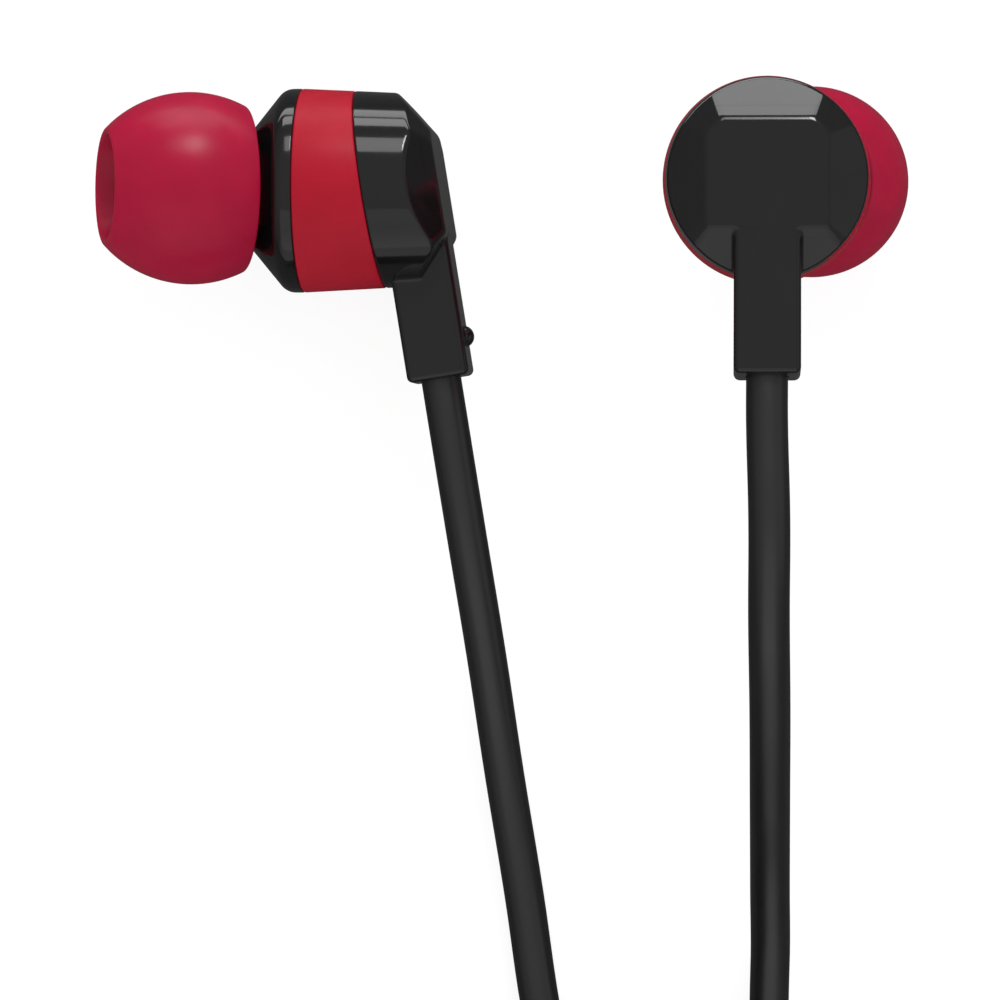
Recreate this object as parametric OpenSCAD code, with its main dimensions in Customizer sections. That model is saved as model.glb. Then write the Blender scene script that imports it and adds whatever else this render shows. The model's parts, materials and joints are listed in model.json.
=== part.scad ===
// Wired in-ear earphones: a left and a right earpiece, their cords, splitter and 3.5 mm plug.
// The left earpiece lies on its side, the right one stands on its ear tip with its back up,
// and the spare cord is wound into coils in front of them. Millimetres, floor at z = 0.

/* [Barrel] */
// Diameter of the barrel at the front edge of the coloured band
barrel_d = 13.24; // [12:0.02:15]
// Draft of the barrel, narrowing towards its back, in degrees
barrel_draft = 2.9; // [0:0.1:5]
// Distance from the back face to the front edge of the band
band_front = 9.2; // [8.6:0.1:10.4]
// Distance from the back face to the rear edge of the band, on the axis
band_rear = 4.8; // [4.4:0.1:5.6]
// Slant of the rear edge of the band, in degrees
band_slant = 8.7; // [0:0.1:10]
// Bore of the band and of the rear shell, where the front shell's collar plugs in
collar_bore = 11; // [10.8:0.05:11.2]
// Wall of the front shell's collar
collar_wall = 0.8; // [0.5:0.05:1]
// Distance from the back face to the rear end of the collar
collar_rear = 2.8; // [2.6:0.1:3.2]
// Distance from the front edge of the band to the corner where the front cone starts
shoulder_step = 1.05; // [0.8:0.05:1.6]
// Rounding between the barrel and the front cone
shoulder_round = 1.3; // [0.4:0.1:1.4]
// Slope of the front cone from the axis, in degrees
cone_slope = 50.5; // [40:0.5:55]
// Length of the front cone, along the axis
cone_len = 2.65; // [2.2:0.05:2.9]

/* [Back face] */
// Tilt of the flat back face and of the stem, in degrees
face_tilt = 9.2; // [4:0.1:12]
// Height of the flat back face above the axis
face_up = 3.7; // [3.2:0.1:4.2]
// Height of the flat back face below the axis
face_down = 3; // [2.6:0.1:3.6]
// Half the width of the flat back face
face_side = 3.75; // [3.2:0.05:4.2]
// Distance from the axis to the cut corners of the back face
face_corner = 4.67; // [4.5:0.01:4.9]
// Slope of the upper bevel from the back face, in degrees
bevel_up = 33; // [30:1:40]
// Slope of the lower bevel, in degrees
bevel_down = 42; // [35:1:45]
// Slope of the side bevels, in degrees
bevel_side = 37; // [32:1:40]
// Slope of the corner bevels, in degrees
bevel_corner = 35; // [31:1:39]
// Thickness of the back cover
cover_t = 0.6; // [0.58:0.02:0.74]
// Diameter of the window under the back cover
window_d = 6; // [5:0.1:6.4]
// Depth of the back cover's locating rim
rim_depth = 0.6; // [0.3:0.1:1]
// Wall of the locating rim
rim_wall = 0.5; // [0.4:0.05:0.8]

/* [Stem] */
// Width of the stem, seen from behind
stem_w = 4.15; // [4:0.05:4.6]
// Depth of the stem, from its outer to its inner face
stem_depth = 4.05; // [4:0.05:4.4]
// Length from the middle of the back face to the stem's lower end
stem_len = 12.1; // [11:0.1:16]
// Step from the back face in to the stem's outer face
stem_inset = 0.15; // [0.05:0.05:0.3]
// Rounding of the stem's long edges
stem_round = 0.4; // [0.2:0.05:0.6]
// Wall of the stem's hollow
stem_wall = 0.45; // [0.4:0.05:0.6]
// Thickness of the stem's end wall, which grips the cord
stem_end = 2.2; // [1.5:0.1:3]
// Diameter of the raised dot on the left stem
dot_d = 1.4; // [1.3:0.1:2]
// Height of the raised dot
dot_h = 0.55; // [0.3:0.05:0.6]
// Distance from the stem's lower end to the raised dot
dot_up = 2.5; // [1.5:0.1:4]

/* [Nozzle] */
// Distance from the back face to the point where the nozzle's axis leaves the barrel's axis
nozzle_pivot = 8; // [7:0.1:9]
// Sideways angle of the nozzle, in degrees
nozzle_angle = 20; // [10:1:22]
// Outer diameter of the nozzle
nozzle_d = 4.7; // [4.2:0.1:5]
// Sound bore of the nozzle
sound_bore = 3.4; // [2.8:0.1:3.6]
// Distance from the nozzle's pivot to its open end
nozzle_reach = 11.6; // [11:0.1:12]
// Diameter of the barb that holds the ear tip
barb_d = 5.4; // [5.2:0.05:5.6]
// Length of the barb's lead-in slope, from the nozzle's open end
barb_back = 1.2; // [1:0.1:2]
// Length of the barb's slope on the side of the barrel
barb_rear = 0.4; // [0.2:0.1:0.8]
// Diameter of the flange that the ear tip stops at
flange_d = 6.4; // [6.2:0.1:6.8]
// Depth of the chamber in front of the driver
chamber_h = 0.4; // [0.3:0.05:0.6]
// Length of the funnel from that chamber to the sound bore
funnel_len = 2; // [1.6:0.1:2.2]
// Thickness of the mesh in the nozzle's mouth
mesh_t = 0.2; // [0.1:0.05:0.3]
// Depth at which the mesh sits in the nozzle's mouth
mesh_depth = 0.35; // [0.3:0.05:0.6]
// Width of the ledge that the mesh sits on
mesh_ledge = 0.25; // [0.15:0.05:0.3]
// Width across corners of one hole in the mesh
mesh_hole = 0.42; // [0.3:0.02:0.5]
// Distance between holes in the mesh
mesh_pitch = 0.62; // [0.6:0.02:0.8]

/* [Ear tip] */
// Largest diameter of the ear tip
tip_d = 12.4; // [11:0.05:14]
// Radius of the ear tip's domed profile
tip_profile = 7.6; // [7:0.1:9]
// Distance from the nozzle's pivot to the open rim of the skirt
tip_rim = 5.2; // [5:0.1:6]
// Distance from the rim to the widest ring of the skirt
tip_widest = 3.5; // [2.5:0.1:4.5]
// Length of the ear tip
tip_len = 9.1; // [8.6:0.1:10]
// Wall of the skirt
tip_wall = 0.6; // [0.4:0.05:0.9]
// Wall of the sleeve that grips the nozzle
sleeve_wall = 0.7; // [0.5:0.05:0.9]
// Clearance of the sleeve over the barb
barb_gap = 0.05; // [0.02:0.01:0.1]
// Gap between the sleeve and the nozzle's flange
seat_gap = 0.3; // [0.1:0.05:0.4]
// Diameter of the ear tip's open mouth
mouth_d = 6.9; // [6:0.1:7.2]
// Depth of the funnel behind the mouth
mouth_depth = 1.9; // [1:0.1:2.4]
// Thickness of the ear tip's front wall, from the mouth to the hollow
front_wall = 1.7; // [1.2:0.1:2.4]

/* [Driver] */
// Thickness of the gasket in front of the driver
gasket_t = 0.3; // [0.2:0.05:0.5]
// Width of the gasket's ring
gasket_w = 0.65; // [0.5:0.05:0.8]
// Height of the driver's frame
frame_h = 2.8; // [2.4:0.1:3]
// Bore of the driver's frame, which holds the yoke
frame_bore = 7.2; // [6.8:0.1:7.4]
// Depth of the recess in the frame that the diaphragm moves in
recess_h = 0.8; // [0.7:0.05:0.9]
// Wall around that recess
recess_wall = 0.4; // [0.3:0.05:0.5]
// Thickness of the diaphragm
diaphragm_t = 0.12; // [0.08:0.02:0.2]
// Clearance around the diaphragm's rim
diaphragm_gap = 0.1; // [0.08:0.02:0.2]
// Rise of the diaphragm's dome
dome_rise = 0.5; // [0.3:0.05:0.6]
// Mean diameter of the voice coil
voice_d = 5.44; // [5.2:0.02:5.6]
// Thickness of the voice coil
voice_t = 0.2; // [0.14:0.02:0.24]
// Height of the voice coil
voice_h = 1.2; // [1.1:0.05:1.3]
// Magnetic gap on each side of the voice coil
voice_gap = 0.1; // [0.08:0.01:0.12]
// Wall and floor of the steel yoke
yoke_wall = 0.5; // [0.4:0.05:0.6]
// Thickness of the magnet
magnet_t = 1.1; // [0.8:0.05:1.3]
// Thickness of the top plate
plate_t = 0.6; // [0.4:0.05:0.8]
// Diameter of the terminal board
board_d = 5.2; // [4.6:0.1:5.6]
// Thickness of the terminal board
board_t = 0.4; // [0.3:0.05:0.6]
// Diameter of a solder pad
pad_d = 0.8; // [0.7:0.05:0.9]
// Height of a solder pad
pad_h = 0.15; // [0.1:0.05:0.2]
// Diameter of a lead wire
wire_d = 0.5; // [0.3:0.05:0.6]
// Distance between the two lead wires
wire_gap = 1; // [0.8:0.05:1.2]
// Clearance of a fitted joint
fit_gap = 0.05; // [0.02:0.01:0.08]

/* [Cord] */
// Diameter of the cord
cord_d = 2.6; // [2.2:0.1:2.6]
// Distance between turns that lie side by side
coil_pitch = 3.45; // [3.45:0.05:3.8]
// Distance between layers of turns
layer_step = 3.2; // [3.2:0.05:3.4]
// Largest radius of the two leg coils
leg_coil_r = 15.6; // [14:0.1:16]
// Largest radius of the main cord's coil
main_coil_r = 22.3; // [21:0.1:23]
// Thickness of the coil ties
tie_t = 0.45; // [0.3:0.05:0.6]
// Width of the coil ties
tie_w = 3; // [2:0.5:6]
// Clearance of the ties around the turns
tie_gap = 0.15; // [0.1:0.05:0.3]

/* [Splitter and plug] */
// Width of the splitter
splitter_w = 9.4; // [8.6:0.1:12]
// Length of the splitter
splitter_len = 13; // [11:0.5:18]
// Length of the splitter's tapered end
splitter_taper = 6; // [4:0.5:8]
// Rounding of the splitter's long edges
splitter_round = 2; // [0.8:0.1:2.2]
// Thickness of the splitter
splitter_t = 5; // [4.6:0.1:6]
// Distance between the two legs at the splitter
leg_spacing = 3.4; // [3.2:0.1:4]
// Diameter of the plug's grip
grip_d = 6.6; // [6:0.1:7]
// Length of the plug's grip
grip_len = 16; // [12:0.5:20]
// Width of the chamfer at the grip's cord end
grip_bevel = 0.8; // [0.3:0.1:1]
// Width of the chamfer at the grip's pin end
grip_lip = 0.6; // [0.3:0.1:1]
// Diameter of the plug's boot at its narrow end
boot_d = 3.6; // [3.2:0.1:4.4]
// Diameter of the plug's boot at the grip
boot_wide = 4.8; // [4.4:0.1:5.2]
// Length of the plug's boot
boot_len = 10; // [6:0.5:12]
// Diameter of the plug's contacts
pin_d = 3.5; // [3.4:0.02:3.54]
// Length of the plug's sleeve contact
sleeve_len = 7; // [6:0.1:7.4]
// Length of the plug's ring contact
ring_len = 1.7; // [1.2:0.1:2]
// Length of each insulator between the contacts
insulator_len = 0.7; // [0.6:0.05:1]
// Length of the plug's tip contact
contact_tip_len = 3.9; // [3.6:0.1:4.4]
// Diameter of the neck in the tip contact
neck_d = 2.5; // [2.3:0.1:2.8]
// Diameter of the tip contact's ball end
ball_d = 3.3; // [3:0.1:3.4]
// Diameter of the flat at the very end of the plug
end_d = 1; // [0.6:0.1:1.4]
// Step from the contacts in to the insulators
insulator_inset = 0.2; // [0.18:0.01:0.3]

/* [Hidden] */
$fn = 96;

// The side that the nozzle turns to, in the earpiece's own frame
left_side = 1;
right_side = -1;

// Turn of the lying left earpiece: its back is raised a little
left_turn = [0, -95, 0];
// Turns of the standing right earpiece: back up, leaning a little
right_turn = [0, 177, 0];
right_lean = [3, 0, 0];
// Where the middle of each back face lies on the floor plan
left_x = -3.7;
left_y = 3.26;
right_x = 16.38;
right_y = 3;

barrel_r = barrel_d / 2;
bore_r = collar_bore / 2;
collar_r = bore_r - fit_gap;
driver_bore_r = collar_r - collar_wall;
driver_r = driver_bore_r - fit_gap;
shoulder = band_front + shoulder_step;
nose = shoulder + cone_len;
nose_r = barrel_r - cone_len * tan(cone_slope);
shoulder_turn = cone_slope;
shoulder_mid = shoulder - shoulder_round * tan(shoulder_turn / 2);
shoulder_mid_r = barrel_r - shoulder_round;
cut = 0.01; // overshoot of a cutting tool
round_step = 15; // degrees from one point of a rounded corner to the next
big = 40; // side of a half-space block
margin = 3; // how far a blank reaches past the faces that trim it
bevel_reach = 9; // how far the bevels' blanks reach from the middle of the face

cavity_rear = 2; // rear end of the hollow behind the driver
cavity_r = driver_bore_r - 0.05;
stem_in = stem_inset + stem_depth;
stem_mid = stem_inset + stem_depth / 2;
channel_w = stem_w - 2 * stem_wall;
channel_top = -2.4; // the stem's block reaches this far up inside the barrel
bore_start = 2.6; // the sound bore starts this far from the nozzle's pivot
mesh_rows = 2; // rows of holes on each side of the mesh's middle

ledge_z = 9.5; // the ledge in the front shell that the gasket rests on
frame_top = ledge_z - gasket_t;
frame_bottom = frame_top - frame_h;
recess_z = frame_top - recess_h;
diaphragm_z = frame_top - recess_h / 2 - diaphragm_t / 2;
voice_in = voice_d / 2 - voice_t / 2;
voice_out = voice_d / 2 + voice_t / 2;
plate_r = voice_in - voice_gap;
magnet_r = plate_r - 0.2;
yoke_in = voice_out + voice_gap;
yoke_r = frame_bore / 2 - fit_gap;
plate_z = diaphragm_z - voice_h / 2 - plate_t / 2;
magnet_z = plate_z - magnet_t;
yoke_z = magnet_z - yoke_wall;
board_z = yoke_z - board_t;

pad_y = -1; // the solder pads lie this far below the board's middle
anchor_h = 0.8; // height of the block that keeps the cord in the stem
anchor_gap = 0.1; // clearance at each side of that block
wire_bend = [0, -2.2, 4.6]; // the lead wires bend here, and enter the stem at wire_entry
wire_entry = -4.6;

sleeve_r = barb_d / 2 + barb_gap;
sleeve_out = sleeve_r + sleeve_wall;
flange_top = tip_rim + 0.4;
sleeve_start = flange_top + seat_gap;
hollow_end = tip_len - front_wall;
barb_at = nozzle_reach - barb_back;
mesh_z = nozzle_reach - mesh_depth - mesh_t;
mesh_r = sound_bore / 2 + mesh_ledge;

cord_r = cord_d / 2;
coil_base = tie_t + cord_r;
splitter_z = splitter_t / 2;
plug_z = grip_d / 2;
grip_r = grip_d / 2;
pin_r = pin_d / 2;

left_z = shoulder_mid * sin(-left_turn[1] - 90) + shoulder_mid_r * cos(-left_turn[1] - 90)
    + shoulder_round;
tip_lip_r = sqrt(pow(tip_profile, 2) - pow(tip_len - tip_widest, 2)) + tip_d / 2 - tip_profile;
right_slope = acos(cos(180 - right_turn[1] + nozzle_angle) * cos(right_lean[0]));
right_z = (tip_rim + tip_len) * cos(right_slope) + tip_lip_r * sin(right_slope)
    + nozzle_pivot * cos(180 - right_turn[1]) * cos(right_lean[0]);

// Cord places, in the floor plan
leg_coil_mid = [-5.1, -74];
main_coil_mid = [-3.8, -134.5];
leg_loops = 1.25; // turns in each layer of a leg coil
main_loops = 4; // turns in each layer of the main coil
splitter_mid = [10.5, -98]; // middle of the splitter's upper face
plug_at = [-26.1, -112]; // the plug's boot starts here and the plug points to +Y

boot_top = boot_len;
grip_top = boot_top + grip_len;
sleeve_top = grip_top + sleeve_len;
ring_start = sleeve_top + insulator_len;
ring_top = ring_start + ring_len;
contact_start = ring_top + insulator_len;
contact_top = contact_start + contact_tip_len;
shoulder_end = contact_start + 0.7; // the tip contact's shoulder, neck and ball
neck_at = contact_start + 1.4;
ball_at = contact_top - 1.7;
ball_end = contact_top - 1.2;

leg_in = [leg_coil_mid[0] + leg_coil_r, leg_coil_mid[1]];
main_in = [main_coil_mid[0] + main_coil_r, main_coil_mid[1]];
main_out = [main_coil_mid[0] - main_coil_r, main_coil_mid[1]];

function turn_x(p, a) = [p[0], p[1] * cos(a) - p[2] * sin(a), p[1] * sin(a) + p[2] * cos(a)];
function turn_y(p, a) = [p[0] * cos(a) + p[2] * sin(a), p[1], p[2] * cos(a) - p[0] * sin(a)];
function on_left(p) = [left_x, left_y, left_z] + turn_y(p, left_turn[1]);
function on_right(p) =
    [right_x, right_y, right_z] + turn_x(turn_y(p, right_turn[1]), right_lean[0]);
function on_stem(y, z) = turn_x([0, y, z], face_tilt);
function unit(v) = v / norm(v);

left_exit = on_left(on_stem(-stem_len, stem_mid));
left_lead = on_left(on_stem(-stem_len - cord_d, stem_mid));
right_exit = on_right(on_stem(-stem_len, stem_mid));
right_lead = on_right(on_stem(-stem_len - cord_d, stem_mid));

// Routes of the free cord, as points on its centreline
left_upper_route = [
    left_exit, left_lead, [-2.3, -19, 6.5], [-1, -27, 4.4], [0.2, -35, 2.4], [1.5, -43, 1.5],
    [2.6, -50.5, 1.3], [3.8, -56.5, 1.3], [6.6, -61.5, 1.4], [9.4, -65.6, 1.6],
    [leg_in[0], leg_in[1] + 2 * cord_d, coil_base],
    [leg_in[0], leg_in[1] + cord_d, coil_base]
];
right_upper_route = [
    right_exit, right_lead, [16.5, -18, 22.2], [16.6, -24, 20.2], [16.9, -30, 16.2],
    [17.2, -36, 11.2], [17.5, -42, 6.2], [17.7, -48, 2.7], [17.4, -54, 1.3], [15.6, -60, 2.6],
    [12.9, -64.6, 6], [leg_in[0], leg_in[1] + 2 * cord_d, coil_base + 2 * layer_step],
    [leg_in[0], leg_in[1] + cord_d, coil_base + 2 * layer_step]
];
left_lower_route = [
    [leg_in[0], leg_in[1] - cord_d, coil_base + layer_step],
    [leg_in[0], leg_in[1] - 2 * cord_d, coil_base + layer_step], [9.6, -85, 3.6],
    [splitter_mid[0] - leg_spacing / 2, splitter_mid[1] + 2 * cord_d, splitter_z],
    [splitter_mid[0] - leg_spacing / 2, splitter_mid[1], splitter_z]
];
right_lower_route = [
    [leg_in[0], leg_in[1] - cord_d, coil_base + 3 * layer_step],
    [leg_in[0], leg_in[1] - 2 * cord_d, coil_base + 3 * layer_step], [11.2, -83.6, 9.6],
    [11.9, -88, 6.2], [12.2, -91.6, 3.4],
    [splitter_mid[0] + leg_spacing / 2, splitter_mid[1] + cord_d, splitter_z],
    [splitter_mid[0] + leg_spacing / 2, splitter_mid[1], splitter_z]
];
main_head_route = [
    [splitter_mid[0], splitter_mid[1] - splitter_len, splitter_z],
    [splitter_mid[0], splitter_mid[1] - splitter_len - cord_d, splitter_z], [12, -118, 2],
    [15.4, -123, 1.5], [17.8, -126.8, 1.6], [main_in[0], main_in[1] + 2 * cord_d, coil_base],
    [main_in[0], main_in[1] + cord_d, coil_base]
];
main_tail_route = [
    [main_out[0], main_out[1] + cord_d, coil_base + layer_step],
    [main_out[0], main_out[1] + 2 * cord_d, coil_base + layer_step], [-26.1, -122, 3.8],
    [plug_at[0], plug_at[1] - cord_d, plug_z], [plug_at[0], plug_at[1], plug_z]
];

// ---- Cord shapes ----

function tangent(route, i) =
    i == 0 ? unit(route[1] - route[0]) :
    i == len(route) - 1 ? unit(route[i] - route[i - 1]) :
    unit(unit(route[i + 1] - route[i]) + unit(route[i] - route[i - 1]));
function ring_point(p, t, r, a) =
    let (side = unit(cross(t, [0, 0, 1])), up = cross(side, t)) p + r * (cos(a) * side + sin(a) * up);

// A tube of the given number of sides that follows a route
module tube(route, r, sides) {
    rings = len(route);
    points = [
        for (i = [0:rings - 1])
            let (t = tangent(route, i))
            for (k = [0:sides - 1])
                ring_point(route[i], t, r, -90 + 360 * k / sides)
    ];
    walls = [
        for (i = [0:rings - 2])
            for (k = [0:sides - 1])
                let (a = i * sides + k, b = i * sides + (k + 1) % sides)
                for (face = [[a, a + sides, b + sides], [a, b + sides, b]])
                    face
    ];
    start = [for (k = [1:sides - 2]) [0, k, k + 1]];
    last = (rings - 1) * sides;
    end = [for (k = [1:sides - 2]) [last, last + k + 1, last + k]];
    polyhedron(points, concat(walls, start, end));
}

// Centreline of a coil of two layers, wound clockwise from its rightmost point: it spirals in,
// climbs in half a turn and spirals out again. Its ends run straight for one cord diameter.
loop_rings = 24;
function coil_route(mid, r, loops, base) =
    let (
        inward = loops * loop_rings,
        climb = loop_rings / 2,
        total = 2 * inward + climb,
        radius = function (i)
            i <= inward ? r - coil_pitch * i / loop_rings :
            i <= inward + climb ? r - coil_pitch * loops :
            r - coil_pitch * (total - i) / loop_rings,
        height = function (i) base + layer_step * max(0, min(1, (i - inward) / climb)),
        at = function (i)
            let (a = -360 * i / loop_rings)
            [mid[0] + radius(i) * cos(a), mid[1] + radius(i) * sin(a), height(i)],
        last = at(total),
        way = cos(360 * total / loop_rings)
    )
    concat(
        [[mid[0] + r, mid[1] + cord_d, base]],
        [for (i = [0:total]) at(i)],
        [[last[0], last[1] - way * cord_d, last[2]]]
    );

// Least gap of a coil to itself, between centreline points at least half a turn apart
function least_gap(route) = min([
    for (i = [0:len(route) - 1 - loop_rings / 2])
        for (j = [i + loop_rings / 2:len(route) - 1])
            norm(route[i] - route[j])
]) - cord_d;

left_coil_route = coil_route(leg_coil_mid, leg_coil_r, leg_loops, coil_base);
right_coil_route = coil_route(leg_coil_mid, leg_coil_r, leg_loops, coil_base + 2 * layer_step);
main_coil_route = coil_route(main_coil_mid, main_coil_r, main_loops, coil_base);
function route_len(route) =
    [for (i = 0, s = 0; i < len(route); i = i + 1, s = s + (i < len(route)
        ? norm(route[i] - route[i - 1]) : 0)) s][len(route) - 1];

echo(leg_coil_gap = least_gap(left_coil_route));
echo(main_coil_gap = least_gap(main_coil_route));
echo(left_leg = route_len(left_upper_route) + route_len(left_coil_route)
    + route_len(left_lower_route));
echo(right_leg = route_len(right_upper_route) + route_len(right_coil_route)
    + route_len(right_lower_route));
echo(main_cord = route_len(main_head_route) + route_len(main_coil_route)
    + route_len(main_tail_route));

module free_cord(route) color([0.12, 0.12, 0.13]) tube(route, cord_r, 8);
module wound_cord(route) color([0.12, 0.12, 0.13]) tube(route, cord_r, 6);

// ---- Frames ----

module place_left() translate([left_x, left_y, left_z]) rotate(left_turn) children();
module place_right()
    translate([right_x, right_y, right_z]) rotate(right_lean) rotate(right_turn) children();
module on_face() rotate([face_tilt, 0, 0]) children();
module on_nozzle(side)
    translate([0, 0, nozzle_pivot]) rotate([0, side * nozzle_angle, 0]) children();

// ---- Shell shapes ----

function barrel_r_at(z) = barrel_r - (band_front - z) * tan(barrel_draft);

module disc(r, z0, z1) translate([0, 0, z0]) cylinder(r = r, h = z1 - z0);
module ring(r_out, r_in, z0, z1) difference() {
    disc(r_out, z0, z1);
    disc(r_in, z0 - cut, z1 + cut);
}
module barrel(z0, z1)
    translate([0, 0, z0]) cylinder(r1 = barrel_r_at(z0), r2 = barrel_r_at(z1), h = z1 - z0);

// Everything behind the band's slanted rear edge, or in front of it
module behind_band() translate([0, 0, band_rear]) rotate([band_slant, 0, 0])
    translate([-big / 2, -big / 2, -big]) cube(big);
module ahead_of_band() translate([0, 0, band_rear]) rotate([band_slant, 0, 0])
    translate([-big / 2, -big / 2, 0]) cube(big);

// The region over a flat of the given half-widths, between two bevels that rise from its ends
module between_bevels(low, high, slope_low, slope_high) rotate([90, 0, 90])
    translate([0, 0, -bevel_reach]) linear_extrude(2 * bevel_reach) polygon([
        [-low, 0], [high, 0], [bevel_reach, (bevel_reach - high) * tan(slope_high)],
        [bevel_reach, bevel_reach], [-bevel_reach, bevel_reach],
        [-bevel_reach, (bevel_reach - low) * tan(slope_low)]
    ]);

// The closed outer form of the barrel's back, bevelled round the flat face
module back_form() intersection() {
    barrel(-margin, band_rear + margin);
    on_face() between_bevels(face_down, face_up, bevel_down, bevel_up);
    on_face() rotate([0, 0, 90])
        between_bevels(face_side, face_side, bevel_side, bevel_side);
    intersection_for (turn = [45, 135])
        on_face() rotate([0, 0, turn])
            between_bevels(face_corner, face_corner, bevel_corner, bevel_corner);
}

// Rounded bar of the stem, in the frame of the back face
module rounded_bar(w, y0, y1, z0, z1, r) translate([0, y1, 0]) rotate([90, 0, 0])
    linear_extrude(y1 - y0) rounded_box_2d(w, z0, z1, r);
module rounded_box_2d(w, z0, z1, r) polygon([
    for (corner = [[1, z1 - r, 0], [-1, z1 - r, 90], [-1, z0 + r, 180], [1, z0 + r, 270]])
        for (a = [0:round_step:90])
            [corner[0] * (w / 2 - r) + r * cos(corner[2] + a), corner[1] + r * sin(corner[2] + a)]
]);
module stem_form() on_face()
    rounded_bar(stem_w, -stem_len, channel_top, stem_inset, stem_in, stem_round);
module cover_zone() on_face() translate([-big / 2, -big / 2, cover_t - big]) cube(big);

// ---- Shells ----

module rear_shell() color([0.05, 0.05, 0.055]) difference() {
    union() {
        intersection() {
            back_form();
            behind_band();
        }
        stem_form();
    }
    cover_zone();
    disc(bore_r, collar_rear, band_front);
    disc(cavity_r, cavity_rear, collar_rear + cut);
    on_face() disc(window_d / 2, 0, collar_rear);
    on_face() translate([-channel_w / 2, -stem_len + stem_end, 0])
        cube([channel_w, stem_len - stem_end + channel_top, stem_in - stem_wall]);
    on_face() translate([0, -stem_len - cut, stem_mid]) rotate([-90, 0, 0])
        cylinder(r = cord_r + fit_gap, h = stem_end + 2 * cut);
}

module back_cover(dotted) color([0.05, 0.05, 0.055]) union() {
    intersection() {
        union() {
            back_form();
            stem_form();
        }
        cover_zone();
    }
    on_face() ring(window_d / 2 - fit_gap, window_d / 2 - fit_gap - rim_wall, cover_t - cut,
        cover_t + rim_depth);
    if (dotted) on_face() raised_dot();
}

// A low dome that a finger feels, cut from a ball
module raised_dot() {
    ball = (pow(dot_d / 2, 2) + pow(dot_h, 2)) / (2 * dot_h);
    translate([0, -stem_len + dot_up, stem_inset]) intersection() {
        translate([0, 0, ball - dot_h]) sphere(ball);
        translate([-dot_d, -dot_d, -dot_h]) cube([2 * dot_d, 2 * dot_d, dot_h + cut]);
    }
}

module accent_band() color([0.75, 0.1, 0.16]) intersection() {
    difference() {
        barrel(band_rear - margin, band_front);
        disc(bore_r, 0, band_front + cut);
    }
    ahead_of_band();
}

module front_shell(side) color([0.05, 0.05, 0.055]) difference() {
    union() {
        rotate_extrude() polygon(concat(
            [[0, collar_rear], [collar_r, collar_rear], [collar_r, band_front],
                [barrel_r, band_front]],
            [for (a = [0:10]) [
                shoulder_mid_r + shoulder_round * cos(a / 10 * shoulder_turn),
                shoulder_mid + shoulder_round * sin(a / 10 * shoulder_turn)
            ]],
            [[nose_r, nose], [0, nose]]
        ));
        on_nozzle(side) {
            disc(flange_d / 2, bore_start, flange_top);
            disc(nozzle_d / 2, tip_rim, nozzle_reach);
            translate([0, 0, barb_at]) cylinder(r1 = barb_d / 2, r2 = nozzle_d / 2, h = barb_back);
            translate([0, 0, barb_at - barb_rear])
                cylinder(r1 = nozzle_d / 2, r2 = barb_d / 2, h = barb_rear);
        }
    }
    disc(driver_bore_r, collar_rear - cut, ledge_z);
    disc(driver_bore_r - gasket_w, ledge_z - cut, ledge_z + chamber_h);
    translate([0, 0, ledge_z + chamber_h - cut])
        cylinder(r1 = driver_bore_r - gasket_w, r2 = sound_bore / 2, h = funnel_len);
    on_nozzle(side) {
        disc(sound_bore / 2, bore_start, nozzle_reach + cut);
        disc(mesh_r, mesh_z, nozzle_reach + cut);
    }
}

module nozzle_mesh(side) color([0.3, 0.3, 0.32]) on_nozzle(side)
    translate([0, 0, mesh_z]) linear_extrude(mesh_t) difference() {
        circle(mesh_r - fit_gap);
        for (row = [-mesh_rows:mesh_rows], k = [-mesh_rows:mesh_rows]) {
            x = (k + row / 2) * mesh_pitch;
            y = row * mesh_pitch * sin(60);
            if (norm([x, y]) + mesh_hole / 2 < sound_bore / 2)
                translate([x, y]) circle(mesh_hole / 2, $fn = 6);
        }
    }

module ear_tip(side) color([0.7, 0.08, 0.22]) on_nozzle(side) translate([0, 0, tip_rim])
    rotate_extrude() difference() {
        intersection() {
            translate([tip_d / 2 - tip_profile, tip_widest]) circle(tip_profile);
            translate([sleeve_r, 0]) square([tip_d, tip_len]);
        }
        intersection() {
            translate([tip_d / 2 - tip_profile, tip_widest]) circle(tip_profile - tip_wall);
            translate([sleeve_out, -cut]) square([tip_d, hollow_end + cut]);
        }
        translate([0, -cut]) square([sleeve_out + cut, sleeve_start - tip_rim + cut]);
        polygon([
            [0, tip_len - mouth_depth], [sleeve_r, tip_len - mouth_depth], [mouth_d / 2, tip_len],
            [mouth_d / 2, tip_len + margin], [0, tip_len + margin]
        ]);
    }

// ---- Driver ----

module driver_gasket() color([0.2, 0.2, 0.2])
    ring(driver_r, driver_r - gasket_w, frame_top, ledge_z);

module driver_frame() color([0.85, 0.82, 0.75]) difference() {
    disc(driver_r, frame_bottom, frame_top);
    disc(frame_bore / 2, frame_bottom - cut, frame_top);
    disc(driver_r - recess_wall, recess_z, frame_top + cut);
}

module diaphragm() color([0.75, 0.8, 0.85]) rotate_extrude() {
    ball = (pow(voice_in, 2) + pow(dome_rise, 2)) / (2 * dome_rise);
    translate([voice_in - cut, diaphragm_z])
        square([driver_r - recess_wall - diaphragm_gap - voice_in + cut, diaphragm_t]);
    intersection() {
        translate([0, diaphragm_z + dome_rise - ball]) difference() {
            circle(ball + diaphragm_t);
            circle(ball);
        }
        translate([0, diaphragm_z]) square([voice_in, dome_rise + 2 * diaphragm_t]);
    }
}

module voice_coil() color([0.75, 0.45, 0.2])
    ring(voice_out, voice_in, diaphragm_z - voice_h, diaphragm_z);

module top_plate() color([0.65, 0.66, 0.68]) disc(plate_r, plate_z, plate_z + plate_t);

module magnet() color([0.45, 0.45, 0.48]) disc(magnet_r, magnet_z, plate_z);

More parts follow.
